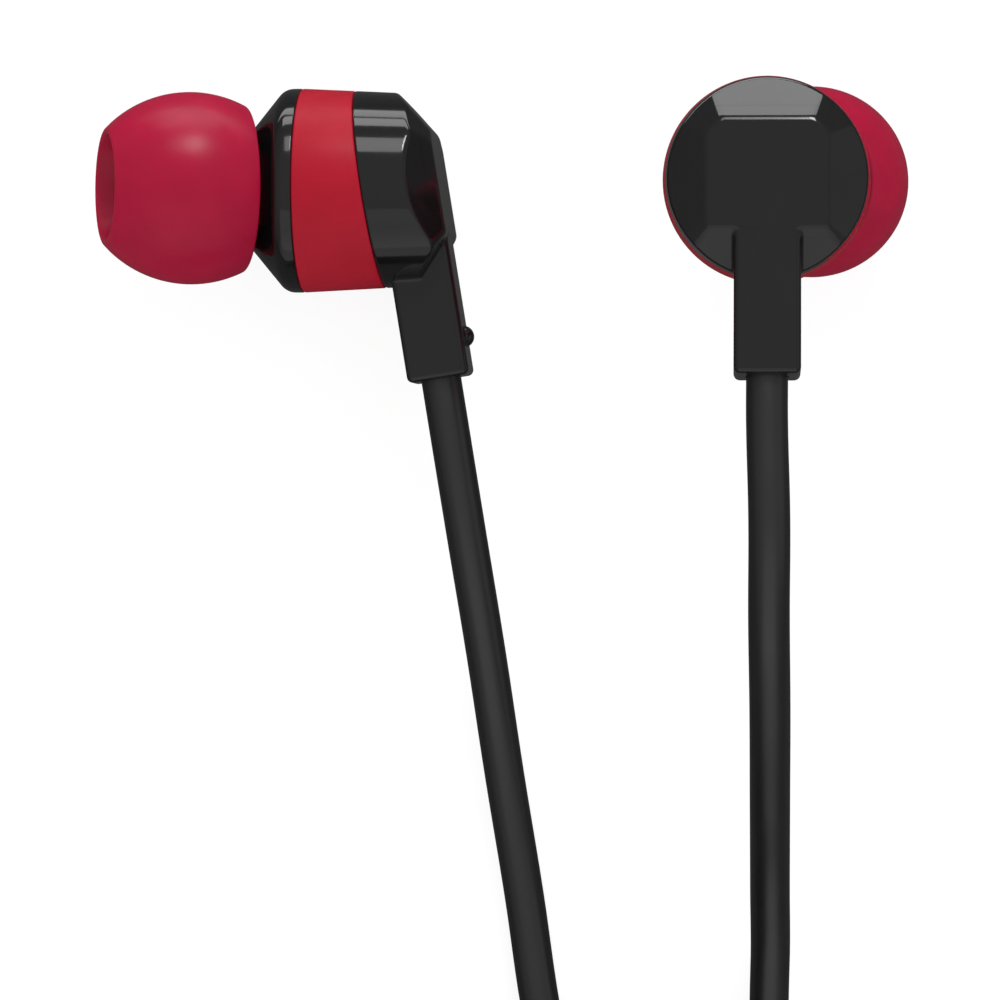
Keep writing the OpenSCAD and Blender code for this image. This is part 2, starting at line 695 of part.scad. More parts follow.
module yoke() color([0.7, 0.7, 0.72]) difference() {
    disc(yoke_r, yoke_z, plate_z + plate_t);
    disc(yoke_in, magnet_z, plate_z + plate_t + cut);
}

module terminal_board() color([0.1, 0.35, 0.15]) union() {
    disc(board_d / 2, board_z, yoke_z);
    for (x = [-wire_gap / 2, wire_gap / 2]) translate([x, pad_y, 0])
        disc(pad_d / 2, board_z - pad_h, board_z + cut);
}

module lead_wires() color([0.8, 0.55, 0.2])
    for (x = [-wire_gap / 2, wire_gap / 2]) translate([x, 0, 0]) tube([
        [0, pad_y, board_z - pad_h], wire_bend, on_stem(wire_entry, stem_mid),
        on_stem(-stem_len + stem_end + anchor_h, stem_mid)
    ], wire_d / 2, 8);

// The end of the cord's jacket in the stem's end wall, with the block that keeps it in
module cord_anchor() color([0.12, 0.12, 0.13]) on_face() union() {
    translate([0, -stem_len, stem_mid]) rotate([-90, 0, 0]) cylinder(r = cord_r, h = stem_end + cut);
    translate([-channel_w / 2 + anchor_gap, -stem_len + stem_end, cover_t + fit_gap])
        cube([channel_w - 2 * anchor_gap, anchor_h, stem_in - stem_wall - cover_t - 2 * fit_gap]);
}

// ---- Splitter, ties and plug ----

module cord_splitter() color([0.1, 0.1, 0.11])
    translate([splitter_mid[0], splitter_mid[1] - splitter_len, 0]) intersection() {
        rounded_bar(splitter_w, 0, splitter_len, 0, splitter_t, splitter_round);
        linear_extrude(splitter_t) polygon([
            [-cord_d, 0], [cord_d, 0], [splitter_w / 2, splitter_taper],
            [splitter_w / 2, splitter_len], [-splitter_w / 2, splitter_len],
            [-splitter_w / 2, splitter_taper]
        ]);
    }

// A flat strap closed round a bundle of turns, from r0 to r1 and from the floor to the top
module tie(mid, direction, r0, r1, top) color([0.15, 0.15, 0.16])
    translate([mid[0], mid[1], 0]) rotate([0, 0, direction]) translate([(r0 + r1) / 2, 0, 0])
        translate([0, tie_w / 2, 0]) rotate([90, 0, 0]) linear_extrude(tie_w) difference() {
            rounded_box_2d(r1 - r0 + 2 * tie_t, 0, top + tie_t, cord_r);
            rounded_box_2d(r1 - r0, tie_t, top, cord_r - tie_t);
        }
module leg_coil_tie() tie(leg_coil_mid, 120,
    leg_coil_r - coil_pitch * leg_loops - cord_r - tie_gap, leg_coil_r + cord_r + tie_gap,
    coil_base + 3 * layer_step + cord_r + tie_gap);
module main_coil_tie() tie(main_coil_mid, 270,
    main_coil_r - coil_pitch * main_loops - cord_r - tie_gap, main_coil_r + cord_r + tie_gap,
    coil_base + layer_step + cord_r + tie_gap);

module on_plug() translate([plug_at[0], plug_at[1], plug_z]) rotate([-90, 0, 0]) children();

module plug_boot() color([0.1, 0.1, 0.11]) on_plug()
    cylinder(r1 = boot_d / 2, r2 = boot_wide / 2, h = boot_len);
module plug_grip() color([0.06, 0.06, 0.065]) on_plug() rotate_extrude() polygon([
    [0, boot_top], [grip_r - grip_bevel, boot_top], [grip_r, boot_top + grip_bevel],
    [grip_r, grip_top - grip_lip], [grip_r - grip_lip, grip_top], [0, grip_top]
]);
module plug_sleeve() color([0.85, 0.75, 0.5]) on_plug() disc(pin_r, grip_top, sleeve_top);
module plug_ring() color([0.85, 0.75, 0.5]) on_plug() disc(pin_r, ring_start, ring_top);
module plug_insulators() color([0.08, 0.08, 0.08]) on_plug() union() {
    disc(pin_r - insulator_inset, sleeve_top, ring_start);
    disc(pin_r - insulator_inset, ring_top, contact_start);
}
module plug_tip() color([0.85, 0.75, 0.5]) on_plug() rotate_extrude() polygon([
    [0, contact_start], [pin_r, contact_start], [pin_r, shoulder_end], [neck_d / 2, neck_at],
    [ball_d / 2, ball_at], [ball_d / 2, ball_end], [end_d / 2, contact_top], [0, contact_top]
]);

place_left() ear_tip(left_side);  // left_ear_tip
place_left() nozzle_mesh(left_side);  // left_nozzle_mesh
place_left() front_shell(left_side);  // left_front_shell
place_left() accent_band();  // left_accent_band
place_left() rear_shell();  // left_rear_shell
place_left() back_cover(true);  // left_back_cover
place_left() driver_gasket();  // left_driver_gasket
place_left() driver_frame();  // left_driver_frame
place_left() diaphragm();  // left_diaphragm
place_left() voice_coil();  // left_voice_coil
place_left() top_plate();  // left_top_plate
place_left() magnet();  // left_magnet
place_left() yoke();  // left_yoke
place_left() terminal_board();  // left_terminal_board
place_left() lead_wires();  // left_lead_wires
place_left() cord_anchor();  // left_cord_anchor
free_cord(left_upper_route);  // left_cord_upper
wound_cord(left_coil_route);  // left_cord_coil
free_cord(left_lower_route);  // left_cord_lower
place_right() ear_tip(right_side);  // right_ear_tip
place_right() nozzle_mesh(right_side);  // right_nozzle_mesh
place_right() front_shell(right_side);  // right_front_shell
place_right() accent_band();  // right_accent_band
place_right() rear_shell();  // right_rear_shell
place_right() back_cover(false);  // right_back_cover
place_right() driver_gasket();  // right_driver_gasket
place_right() driver_frame();  // right_driver_frame
place_right() diaphragm();  // right_diaphragm
place_right() voice_coil();  // right_voice_coil
place_right() top_plate();  // right_top_plate
place_right() magnet();  // right_magnet
place_right() yoke();  // right_yoke
place_right() terminal_board();  // right_terminal_board
place_right() lead_wires();  // right_lead_wires
place_right() cord_anchor();  // right_cord_anchor
free_cord(right_upper_route);  // right_cord_upper
wound_cord(right_coil_route);  // right_cord_coil
free_cord(right_lower_route);  // right_cord_lower
leg_coil_tie();
cord_splitter();
free_cord(main_head_route);  // main_cord_head
wound_cord(main_coil_route);  // main_cord_coil
main_coil_tie();
free_cord(main_tail_route);  // main_cord_tail
plug_boot();
plug_grip();
plug_sleeve();
plug_ring();
plug_insulators();
plug_tip();
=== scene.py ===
"""Wired in-ear earphones: finished shells, ear tips, cords and fittings, with studio and camera."""

import json
import logging
from dataclasses import dataclass
from enum import Enum
from math import acos, atan2, cos, pi, radians, sin, sqrt, tan
from typing import Callable, Sequence

import bpy
import numpy as np
from mathutils import Matrix, Vector


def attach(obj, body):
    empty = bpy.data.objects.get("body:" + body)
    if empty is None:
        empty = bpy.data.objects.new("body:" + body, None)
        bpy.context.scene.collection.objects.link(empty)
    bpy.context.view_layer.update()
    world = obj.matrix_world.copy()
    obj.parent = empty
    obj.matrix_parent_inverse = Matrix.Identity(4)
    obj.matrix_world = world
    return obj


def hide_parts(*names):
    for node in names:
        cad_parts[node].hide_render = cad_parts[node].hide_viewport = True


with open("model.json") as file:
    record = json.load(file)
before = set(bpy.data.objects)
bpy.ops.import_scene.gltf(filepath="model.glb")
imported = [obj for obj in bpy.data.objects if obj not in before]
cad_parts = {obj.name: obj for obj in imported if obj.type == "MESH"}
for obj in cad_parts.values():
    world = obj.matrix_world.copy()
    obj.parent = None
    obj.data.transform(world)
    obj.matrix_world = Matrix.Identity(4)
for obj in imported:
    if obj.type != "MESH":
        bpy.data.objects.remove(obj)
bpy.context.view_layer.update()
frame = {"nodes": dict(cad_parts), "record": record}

BODY = "earphones"
MM = 0.001
NOISE_SPAN = (0.3, 0.7)
GLOSS_SMEAR = 1.7
BUMP_STRENGTH = 0.6
log = logging.getLogger(BODY)
Array = np.ndarray
Colour = tuple[float, float, float]
Point = tuple[float, float, float]
Exit = tuple[Point, Point]
Form = Callable[[Array], Array]
Tree = bpy.types.NodeTree
Socket = bpy.types.NodeSocket
Value = Socket | float | tuple[float, ...]
Thing = bpy.types.Object


class Side(Enum):
    """Which ear an earpiece is for."""

    LEFT = "left"
    RIGHT = "right"

    @property
    def sign(self) -> int:
        """The side that the nozzle turns to in the earpiece's own frame: +1 or -1."""
        return 1 if self is Side.LEFT else -1


# --- Finishes ---


def add_node(tree: Tree, kind: str, inputs: dict[str | int, Value]) -> bpy.types.Node:
    """Adds a node.

    Args:
        tree: The node tree.
        kind: The node's type.
        inputs: What its inputs get: a value, or another node's output.

    Returns:
        The node.
    """
    node = tree.nodes.new(kind)
    for name, value in inputs.items():
        if isinstance(value, Socket):
            tree.links.new(value, node.inputs[name])
        else:
            node.inputs[name].default_value = value
    return node


def ranged(tree: Tree, source: Socket, low: Value, high: float, begin: float = 0.0,
           end: float = 1.0) -> Socket:
    """Maps a value on to a range, from low at its beginning to high at its end."""
    limits = {"From Min": begin, "From Max": end, "To Min": low, "To Max": high}
    return add_node(tree, "ShaderNodeMapRange", {"Value": source, **limits}).outputs["Result"]


@dataclass(frozen=True)
class Finish:
    """A moulded, plated or painted finish with fine grain and slight unevenness of gloss.

    Grain and smear sizes are in millimetres. The scatter shares say how far red, green and blue
    light spread under the surface, as shares of scatter_mm.
    """

    name: str
    colour: Colour
    roughness: float
    gloss_drift: float = 0.04
    tone_drift: float = 0.06
    smear: float = 2.0
    grain: float = 0.15
    grain_depth: float = 0.0
    metal: float = 0.0
    coat: float = 0.0
    coat_roughness: float = 0.03
    specular: float = 0.5
    subsurface: float = 0.0
    scatter_mm: float = 0.6
    scatter_shares: Colour = (1.0, 0.25, 0.2)

    def noise(self, tree: Tree, size: float, detail: float) -> Socket:
        """Adds a noise texture in object space.

        Args:
            tree: The material's node tree.
            size: Size of the pattern in millimetres.
            detail: Octaves of finer noise.

        Returns:
            The noise.
        """
        place = tree.nodes.new("ShaderNodeTexCoord").outputs["Object"]
        inputs = {"Vector": place, "Scale": 1.0 / (size * MM), "Detail": detail}
        return add_node(tree, "ShaderNodeTexNoise", inputs).outputs["Fac"]

    def tint(self, tree: Tree, shader: bpy.types.Node) -> None:
        """Colours the shader with a slight drift of tone.

        Args:
            tree: The material's node tree.
            shader: The Principled shader.
        """
        bands = add_node(tree, "ShaderNodeValToRGB", {"Fac": self.noise(tree, self.smear, detail=3)})
        for stop, at, way in zip(bands.color_ramp.elements, NOISE_SPAN, (-1, 1)):
            stop.position = at
            stop.color = (*[min(1.0, c * (1 + way * self.tone_drift)) for c in self.colour], 1)
        tree.links.new(bands.outputs["Color"], shader.inputs["Base Color"])

    def texture(self, tree: Tree, shader: bpy.types.Node) -> None:
        """Adds the fine surface grain as bump.

        Args:
            tree: The material's node tree.
            shader: The Principled shader.
        """
        if not self.grain_depth:
            return
        fine, depth = self.noise(tree, self.grain, detail=4), self.grain_depth * MM
        inputs = {"Strength": BUMP_STRENGTH, "Distance": depth, "Height": fine}
        bump = add_node(tree, "ShaderNodeBump", inputs)
        tree.links.new(bump.outputs["Normal"], shader.inputs["Normal"])

    def make(self) -> bpy.types.Material:
        """Makes the Blender material once.

        Returns:
            The material, new or already made.
        """
        made = bpy.data.materials.get(self.name)
        if made:
            return made
        material = bpy.data.materials.new(self.name)
        material.use_nodes = True
        material.diffuse_color = (*self.colour, 1)
        tree = material.node_tree
        shader = tree.nodes["Principled BSDF"]
        sockets = {
            "Metallic": self.metal, "Coat Weight": self.coat, "Coat Roughness": self.coat_roughness,
            "Specular IOR Level": self.specular, "Subsurface Weight": self.subsurface,
        }
        for socket, value in sockets.items():
            shader.inputs[socket].default_value = value
        if self.subsurface:
            shader.inputs["Subsurface Radius"].default_value = self.scatter_shares
            shader.inputs["Subsurface Scale"].default_value = self.scatter_mm * MM
        self.tint(tree, shader)
        smear = self.noise(tree, self.smear * GLOSS_SMEAR, detail=2)
        gloss = ranged(tree, smear, self.roughness - self.gloss_drift,
                       self.roughness + self.gloss_drift, *NOISE_SPAN)
        tree.links.new(gloss, shader.inputs["Roughness"])
        self.texture(tree, shader)
        return material


RUBBER = Finish("black rubber tie", (0.018, 0.018, 0.019), 0.62, grain=0.2, grain_depth=0.012)
SLOT_FINISH = {
    "shell_black": Finish("piano black shell", (0.008, 0.008, 0.009), 0.12, gloss_drift=0.03,
                          smear=4, coat=0.6, coat_roughness=0.04),
    "band_red": Finish("satin red band", (0.43, 0.006, 0.022), 0.42, tone_drift=0.04, grain=0.07,
                       grain_depth=0.003, specular=0.17),
    "tip_silicone": Finish("crimson silicone", (0.41, 0.002, 0.036), 0.32, tone_drift=0.05,
                           grain=0.2, grain_depth=0.002, specular=0.28, subsurface=0.2),
    "cord_black": Finish("black cord jacket", (0.005, 0.005, 0.0055), 0.36, grain=0.25,
                         grain_depth=0.01, gloss_drift=0.05, smear=3, specular=1.0, coat=0.5,
                         coat_roughness=0.3),
    "tie_rubber": RUBBER,
    "boot_rubber": RUBBER,
    "fitting_black": Finish("fine matte black", (0.014, 0.014, 0.015), 0.42, grain=0.1,
                            grain_depth=0.006),
    "gold": Finish("gold plating", (1.0, 0.74, 0.31), 0.18, metal=1.0, tone_drift=0.03, smear=1.5),
    "insulator": Finish("black insulator", (0.01, 0.01, 0.01), 0.25),
    "mesh_steel": Finish("steel mesh", (0.30, 0.30, 0.31), 0.32, metal=1.0, grain=0.08,
                         grain_depth=0.01),
    "steel": Finish("zinc plated steel", (0.60, 0.60, 0.62), 0.3, metal=1.0, smear=1.0),
    "magnet_nickel": Finish("nickel plated magnet", (0.55, 0.53, 0.50), 0.14, metal=1.0, smear=1.2),
    "copper": Finish("enamelled copper", (0.75, 0.33, 0.16), 0.3, metal=1.0, grain=0.06,
                     grain_depth=0.02),
    "frame_plastic": Finish("ivory moulded plastic", (0.68, 0.64, 0.55), 0.45, grain_depth=0.004),
    "film": Finish("diaphragm film", (0.62, 0.66, 0.68), 0.2, coat=0.3, smear=1.0),
    "foam": Finish("dark foam", (0.05, 0.05, 0.05), 0.9, tone_drift=0.4, smear=0.3, grain=0.1,
                   grain_depth=0.03),
    "board": Finish("green solder mask", (0.02, 0.16, 0.06), 0.3, tone_drift=0.12, smear=0.6),
}


# --- Mesh making ---


def add_thing(name: str, data: bpy.types.ID) -> Thing:
    """Adds an object to the scene.

    Args:
        name: Its name.
        data: Its mesh, curve, lamp or camera.

    Returns:
        The object.
    """
    thing = bpy.data.objects.new(name, data)
    bpy.context.scene.collection.objects.link(thing)
    return thing


@dataclass
class Draft:
    """A mesh being made, in millimetres; its normals are one for every corner of every face."""

    points: Array
    faces: list[tuple[int, ...]]
    normals: Array | None = None

    def moved(self, matrix: Matrix) -> "Draft":
        """Places the mesh.

        Args:
            matrix: Turn and shift, in millimetres.

        Returns:
            The same mesh in its new place.
        """
        turn = np.array(matrix.to_3x3())
        normals = None if self.normals is None else self.normals @ turn.T
        return Draft(self.points @ turn.T + np.array(matrix.translation), self.faces, normals)

    def joined(self, other: "Draft") -> "Draft":
        """Puts this mesh and another one together; their own normals are dropped.

        Args:
            other: The other mesh.

        Returns:
            Both as one mesh.
        """
        shift = len(self.points)
        faces = self.faces + [tuple(i + shift for i in face) for face in other.faces]
        return Draft(np.vstack([self.points, other.points]), faces)


def build_piece(node: str, draft: Draft, slot: str, body: str = BODY, crease: float = 38.0) -> Thing:
    """Makes the finished piece that stands for a solid and hangs it on its body.

    Args:
        node: The solid, which also gives the piece its name.
        draft: The mesh, in millimetres in the row frame.
        slot: The record's material slot, which also gives the finish.
        body: The body that it rides on.
        crease: Angle in degrees above which an edge stays sharp.

    Returns:
        The new object.
    """
    name = node.replace("_", "-") + "-finished"
    mesh = bpy.data.meshes.new(name)
    mesh.from_pydata((draft.points * MM).tolist(), [], draft.faces)
    mesh.update()
    mesh.shade_smooth()
    if draft.normals is not None:
        mesh.normals_split_custom_set(draft.normals.tolist())
    else:
        mesh.set_sharp_from_angle(angle=radians(crease))
    mesh.materials.append(SLOT_FINISH[slot].make())
    piece = add_thing(name, mesh)
    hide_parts(node)
    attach(piece, body)
    log.info("%s: %d points, %d faces", name, len(mesh.vertices), len(mesh.polygons))
    return piece


@dataclass(frozen=True)
class Corner:
    """A corner of a turned profile: distance from the axis, place along it, and fillet, in mm."""

    r: float
    z: float
    fillet: float = 0.0


def rotation(degrees: float, axis: str) -> Matrix:
    """A turn about an axis."""
    return Matrix.Rotation(radians(degrees), 4, axis)


def filleted(corners: Sequence[Corner], steps: int = 5) -> Array:
    """Rounds the corners of a closed profile.

    Args:
        corners: The profile's corners in order.
        steps: Points on each fillet, less one.

    Returns:
        Points of the rounded profile.
    """
    points: list[Array] = []
    count, share = len(corners), 0.49  # of an edge for each fillet, so that two never meet
    spots = np.array([[corner.r, corner.z] for corner in corners])
    for i, (corner, here) in enumerate(zip(corners, spots)):
        if corner.fillet <= 0:
            points.append(here)
            continue
        a, b = spots[i - 1] - here, spots[(i + 1) % count] - here
        la, lb = np.linalg.norm(a), np.linalg.norm(b)
        a, b = a / la, b / lb
        half = 0.5 * acos(float(np.clip(a @ b, -1, 1)))
        reach = min(corner.fillet / tan(half), share * la, share * lb)
        radius = reach * tan(half)
        middle = here + (a + b) / np.linalg.norm(a + b) * radius / sin(half)
        start, end = here + a * reach - middle, here + b * reach - middle
        span = acos(float(np.clip(start @ end / radius**2, -1, 1)))
        for k in range(steps + 1):
            t = k / steps
            mix = (sin((1 - t) * span) * start + sin(t * span) * end) / sin(span)
            points.append(middle + mix)
    return np.array(points)


def turned(corners: Sequence[Corner], segments: int = 96, steps: int = 5) -> Draft:
    """Turns a closed profile, anticlockwise with r to the right and z up, about the z axis."""
    profile = filleted(corners, steps)
    return swept_ring(lambda angle: profile, segments)


def ring_faces(index: Array) -> list[tuple[int, ...]]:
    """Joins closed rings of points, the last one to the first, with faces.

    Args:
        index: The points' numbers, a row for each ring.

    Returns:
        The faces, without corners that fall together.
    """
    faces = []
    for here, after in zip(index, np.roll(index, -1, axis=0)):
        for quad in zip(here, after, np.roll(after, -1), np.roll(here, -1)):
            face = tuple(int(v) for n, v in enumerate(quad) if v != quad[n - 1])
            if len(face) > 2:
                faces.append(face)
    return faces


def swept_ring(profile_at: Callable[[float], Array], segments: int) -> Draft:
    """Sweeps a profile about the z axis; it may change with the angle.

    Args:
        profile_at: Gives the profile's points (r, z) at an angle in radians.
        segments: Segments round the axis.

    Returns:
        The swept mesh, with triangles where the profile touches the axis.
    """
    angles = [2 * pi * i / segments for i in range(segments)]
    rings = [profile_at(angle) for angle in angles]
    on_axis = rings[0][:, 0] < 1e-6
    points: list[Point] = [(0.0, 0.0, z) for z in rings[0][on_axis, 1]]
    index = np.tile(np.cumsum(on_axis) - 1, (segments, 1))
    for row, angle, ring in zip(index, angles, rings):
        row[~on_axis] = len(points) + np.arange((~on_axis).sum())
        points += [(r * cos(angle), r * sin(angle), z) for r, z in ring[~on_axis]]
    return Draft(np.array(points), ring_faces(index))


def smooth_max(values: Sequence[Array], blend: float) -> Array:
    """The largest of several distances, rounded where two are close.

    Args:
        values: The distances.
        blend: Width of the rounding in millimetres.

    Returns:
        The rounded maximum.
    """
    result = values[0]
    for value in values[1:]:
        near = np.maximum(blend - np.abs(result - value), 0) / blend
        result = np.maximum(result, value) + near * near * blend * 0.25
    return result


def smooth_min(a: Array, b: Array, blend: float) -> Array:
    """The smaller of two distances, with a rounded inside corner of the given width."""
    return -smooth_max([-a, -b], blend)


def rounded_box(q: Array, middle: Point, half: Point, radius: float) -> Array:
    """Distance to a box with rounded edges, given its middle, half its sizes and the rounding."""
    d = np.abs(q - np.array(middle)) - (np.array(half) - radius)
    return np.linalg.norm(np.maximum(d, 0), axis=1) + np.minimum(d.max(axis=1), 0) - radius


def slope(form: Form, q: Array, tiny: float = 1e-3) -> Array:
    """Gradient of a form's signed distance at points, one row each, found with tiny steps."""
    sides = [(form(q + step), form(q - step)) for step in tiny * np.eye(3)]
    return np.stack([(ahead - behind) / (2 * tiny) for ahead, behind in sides], axis=1)


def settled(form: Form, q: Array, limit: float) -> Array:
    """Moves points on to a form's surface.

    Args:
        form: Signed distance to the form.
        q: Points, one row each.
        limit: The furthest that a point may move.

    Returns:
        The moved points.
    """
    g = slope(form, q)
    move = form(q)[:, None] * g / np.maximum((g * g).sum(axis=1), 1e-6)[:, None]
    length = np.linalg.norm(move, axis=1)[:, None]
    return q - move * np.minimum(1, limit / np.maximum(length, 1e-9))


def skin(forms: Sequence[Form], low: Point, high: Point, step: float) -> Draft:
    """Meshes the surface of the solid that several forms have in common.

    The surface is netted on a grid. Every point is then moved on to the forms that meet in its
    cell, so the edges between forms come out crisp, and the normals come from the forms.

    Args:
        forms: Signed distances to the forms, negative inside.
        low: Lowest corner of the grid.
        high: Highest corner of the grid.
        step: Size of a grid cell in millimetres.

    Returns:
        The mesh with its normals.
    """
    axes = [np.arange(a, b + step, step) for a, b in zip(low, high)]
    grid = np.stack(np.meshgrid(*axes, indexing="ij"), axis=-1)
    value = np.max([form(grid.reshape(-1, 3)) for form in forms], axis=0).reshape(grid.shape[:3])
    inside = value < 0
    cells_of = -np.ones(value.shape, np.int64)
    filled = np.zeros([n - 1 for n in value.shape], np.int8)
    for x, y, z in np.ndindex(2, 2, 2):
        nx, ny, nz = filled.shape
        filled += inside[x:x + nx, y:y + ny, z:z + nz]
    cells = np.argwhere((filled > 0) & (filled < 8))
    cells_of[tuple(cells.T)] = np.arange(len(cells))

    total = np.zeros((len(cells), 3))
    weight = np.zeros(len(cells))
    meets = np.zeros((len(forms), len(cells)), bool)
    quads, owners = [], []
    for axis in range(3):
        one, two = (axis + 1) % 3, (axis + 2) % 3
        change = np.diff(inside.astype(np.int8), axis=axis)
        edges = np.argwhere(change != 0)
        sign = change[tuple(edges.T)]
        ends = edges.copy()
        ends[:, axis] += 1
        a, b = value[tuple(edges.T)], value[tuple(ends.T)]
        t = (a / (a - b))[:, None]
        cross = grid[tuple(edges.T)] * (1 - t) + grid[tuple(ends.T)] * t
        owner = np.argmax([form(cross) for form in forms], axis=0)
        loop = []
        for d1, d2 in ((1, 1), (0, 1), (0, 0), (1, 0)):
            cell = edges.copy()
            cell[:, one] -= d1
            cell[:, two] -= d2
            number = cells_of[tuple(cell.T)]
            np.add.at(total, number, cross)
            np.add.at(weight, number, 1)
            meets[owner, number] = True
            loop.append(number)
        quad = np.stack(loop, axis=1)
        quads.append(np.where((sign < 0)[:, None], quad, quad[:, ::-1]))
        owners.append(owner)
    points = total / weight[:, None]
    quad, owner = np.vstack(quads), np.concatenate(owners)

    shared = meets.sum(axis=0) > 1
    rounds, rounds_for_all = 20, 4
    for turn in range(rounds):
        for form, near in zip(forms, meets):
            which = np.flatnonzero(near if turn < rounds_for_all else near & shared)
            if len(which):
                points[which] = settled(form, points[which], step)
    normals = np.zeros((len(quad), 4, 3))
    for k, form in enumerate(forms):
        table = np.zeros((len(points), 3))
        table[meets[k]] = slope(form, points[meets[k]])
        normals[owner == k] = table[quad[owner == k]]
    normals = normals.reshape(-1, 3)
    normals /= np.maximum(np.linalg.norm(normals, axis=1), 1e-9)[:, None]
    return Draft(points, [tuple(f) for f in quad.tolist()], normals)


# --- Earpieces ---


@dataclass
class Earpiece:
    """One earpiece, in millimetres, in its own frame: +z to the ear, stem down along -y.

    Its forms take points in the frame of the tilted back face and give signed distances, which are
    negative inside.
    """

    side: Side
    spot: Point
    turns: Matrix
    barrel_r: float = 6.62
    draft_deg: float = 2.9
    band_front: float = 9.2
    band_rear: float = 4.8
    band_slant: float = 8.7
    bore_r: float = 5.5
    face_tilt: float = 9.2
    face_up: float = 3.7
    face_down: float = 3.0
    face_side: float = 3.75
    face_corner: float = 4.67
    bevel_up: float = 33.0
    bevel_down: float = 42.0
    bevel_side: float = 37.0
    bevel_corner: float = 35.0
    edge: float = 0.16
    cover_t: float = 0.6
    seam: float = 0.003
    window_r: float = 3.0
    cavity_r: float = 4.6
    cavity_rear: float = 2.0
    collar_rear: float = 2.8
    stem_w: float = 4.15
    stem_depth: float = 4.05
    stem_len: float = 12.1
    stem_top: float = -2.4
    stem_inset: float = 0.15
    stem_round: float = 0.4
    stem_blend: float = 0.25
    stem_wall: float = 0.45
    stem_end: float = 2.2
    cord_hole: float = 1.35
    dot_d: float = 1.4
    dot_h: float = 0.55
    dot_up: float = 2.5
    dot_blend: float = 0.08
    room_r: float = 4.65
    room_front: float = 9.5
    collar_r: float = 5.45
    shoulder: float = 10.25
    shoulder_fillet: float = 1.3
    shoulder_slope: float = 50.5
    cone_r: float = 3.41
    cone_front: float = 12.9
    nozzle_pivot: float = 8.0
    nozzle_angle: float = 20.0
    tip_d: float = 12.4
    tip_rim: float = 5.2
    tip_len: float = 9.1
    tip_dome: float = 7.6
    tip_widest: float = 3.5
    tip_wall: float = 0.6
    tip_hollow: float = 7.4

    @classmethod
    def lying(cls) -> "Earpiece":
        """Lays the left earpiece on its front shell's shoulder, with its back raised a little.

        Returns:
            The left earpiece.
        """
        raised, fillet, slant = 5.0, cls.shoulder_fillet, radians(cls.shoulder_slope)
        along, lift = cls.shoulder - fillet * tan(slant / 2), radians(raised)
        height = along * sin(lift) + (cls.barrel_r - fillet) * cos(lift) + fillet
        return cls(Side.LEFT, spot=(-3.7, 3.26, height), turns=rotation(-90 - raised, "Y"))

    @classmethod
    def standing(cls) -> "Earpiece":
        """Stands the right earpiece on its ear tip's lip, back up and leaning a little.

        Returns:
            The right earpiece.
        """
        turned_off, leaning = 3.0, 3.0
        off, lean = radians(turned_off), radians(leaning)
        nozzle = radians(cls.nozzle_angle)
        slant = acos(cos(off + nozzle) * cos(lean))
        lip = sqrt(cls.tip_dome**2 - (cls.tip_len - cls.tip_widest) ** 2)
        lip = lip + cls.tip_d / 2 - cls.tip_dome
        height = ((cls.tip_rim + cls.tip_len) * cos(slant) + lip * sin(slant)
                  + cls.nozzle_pivot * cos(off) * cos(lean))
        turns = rotation(leaning, "X") @ rotation(180 - turned_off, "Y")
        return cls(Side.RIGHT, spot=(16.38, 3.0, height), turns=turns)

    @property
    def place(self) -> Matrix:
        """From the earpiece's frame to the row frame, in millimetres."""
        return Matrix.Translation(self.spot) @ self.turns

    @property
    def face(self) -> Matrix:
        """From the tilted back face's frame to the earpiece's."""
        return rotation(self.face_tilt, "X")

    @property
    def nozzle(self) -> Matrix:
        """From the nozzle's frame to the earpiece's."""
        turn = rotation(self.side.sign * self.nozzle_angle, "Y")
        return Matrix.Translation((0, 0, self.nozzle_pivot)) @ turn

    @property
    def stem_axis(self) -> float:
        """Height of the middle of the stem over the back face."""
        return self.stem_inset + self.stem_depth / 2

    @property
    def cord_exit(self) -> Exit:
        """Where the cord leaves the stem.

        Returns:
            The point in millimetres and the direction out of the stem, in the row frame.
        """
        matrix = self.place @ self.face
        at = matrix @ Vector((0, -self.stem_len, self.stem_axis))
        return tuple(at), tuple(matrix.to_3x3() @ Vector((0, -1, 0)))

    def wall_r(self, z: Array | float) -> Array | float:
        """Outer radius of the barrel at a distance from the back face."""
        return self.barrel_r - (self.band_front - z) * tan(radians(self.draft_deg))

    def upright(self, q: Array) -> Array:
        """Turns points from the back face's frame to the earpiece's own."""
        return q @ np.array(self.face.to_3x3()).T

    def back_form(self, q: Array) -> Array:
        """Forms the barrel with its bevelled back.

        Args:
            q: Points, one row each.

        Returns:
            Signed distances.
        """
        x, y, z = q.T
        px, py, pz = self.upright(q).T
        wall = (np.hypot(px, py) - self.wall_r(pz)) * cos(radians(self.draft_deg))

        def bevel(reach: Array, steep: float) -> Array:
            """Distance outside a bevel of that angle which starts at the face's edge."""
            return reach * sin(radians(steep)) - z * cos(radians(steep))

        facets = smooth_max([
            -z,
            bevel(y - self.face_up, self.bevel_up),
            bevel(-y - self.face_down, self.bevel_down),
            bevel(np.abs(x) - self.face_side, self.bevel_side),
            bevel((np.abs(x) + np.abs(y)) / sqrt(2) - self.face_corner, self.bevel_corner),
        ], self.edge)
        return smooth_max([facets, wall], self.edge)

    def stem_form(self, q: Array) -> Array:
        """Forms the stem's rounded bar.

        Args:
            q: Points, one row each.

        Returns:
            Signed distances.
        """
        middle = (0.0, (self.stem_top - self.stem_len) / 2, self.stem_axis)
        half = (self.stem_w / 2, (self.stem_len + self.stem_top) / 2, self.stem_depth / 2)
        return rounded_box(q, middle, half, self.stem_round)

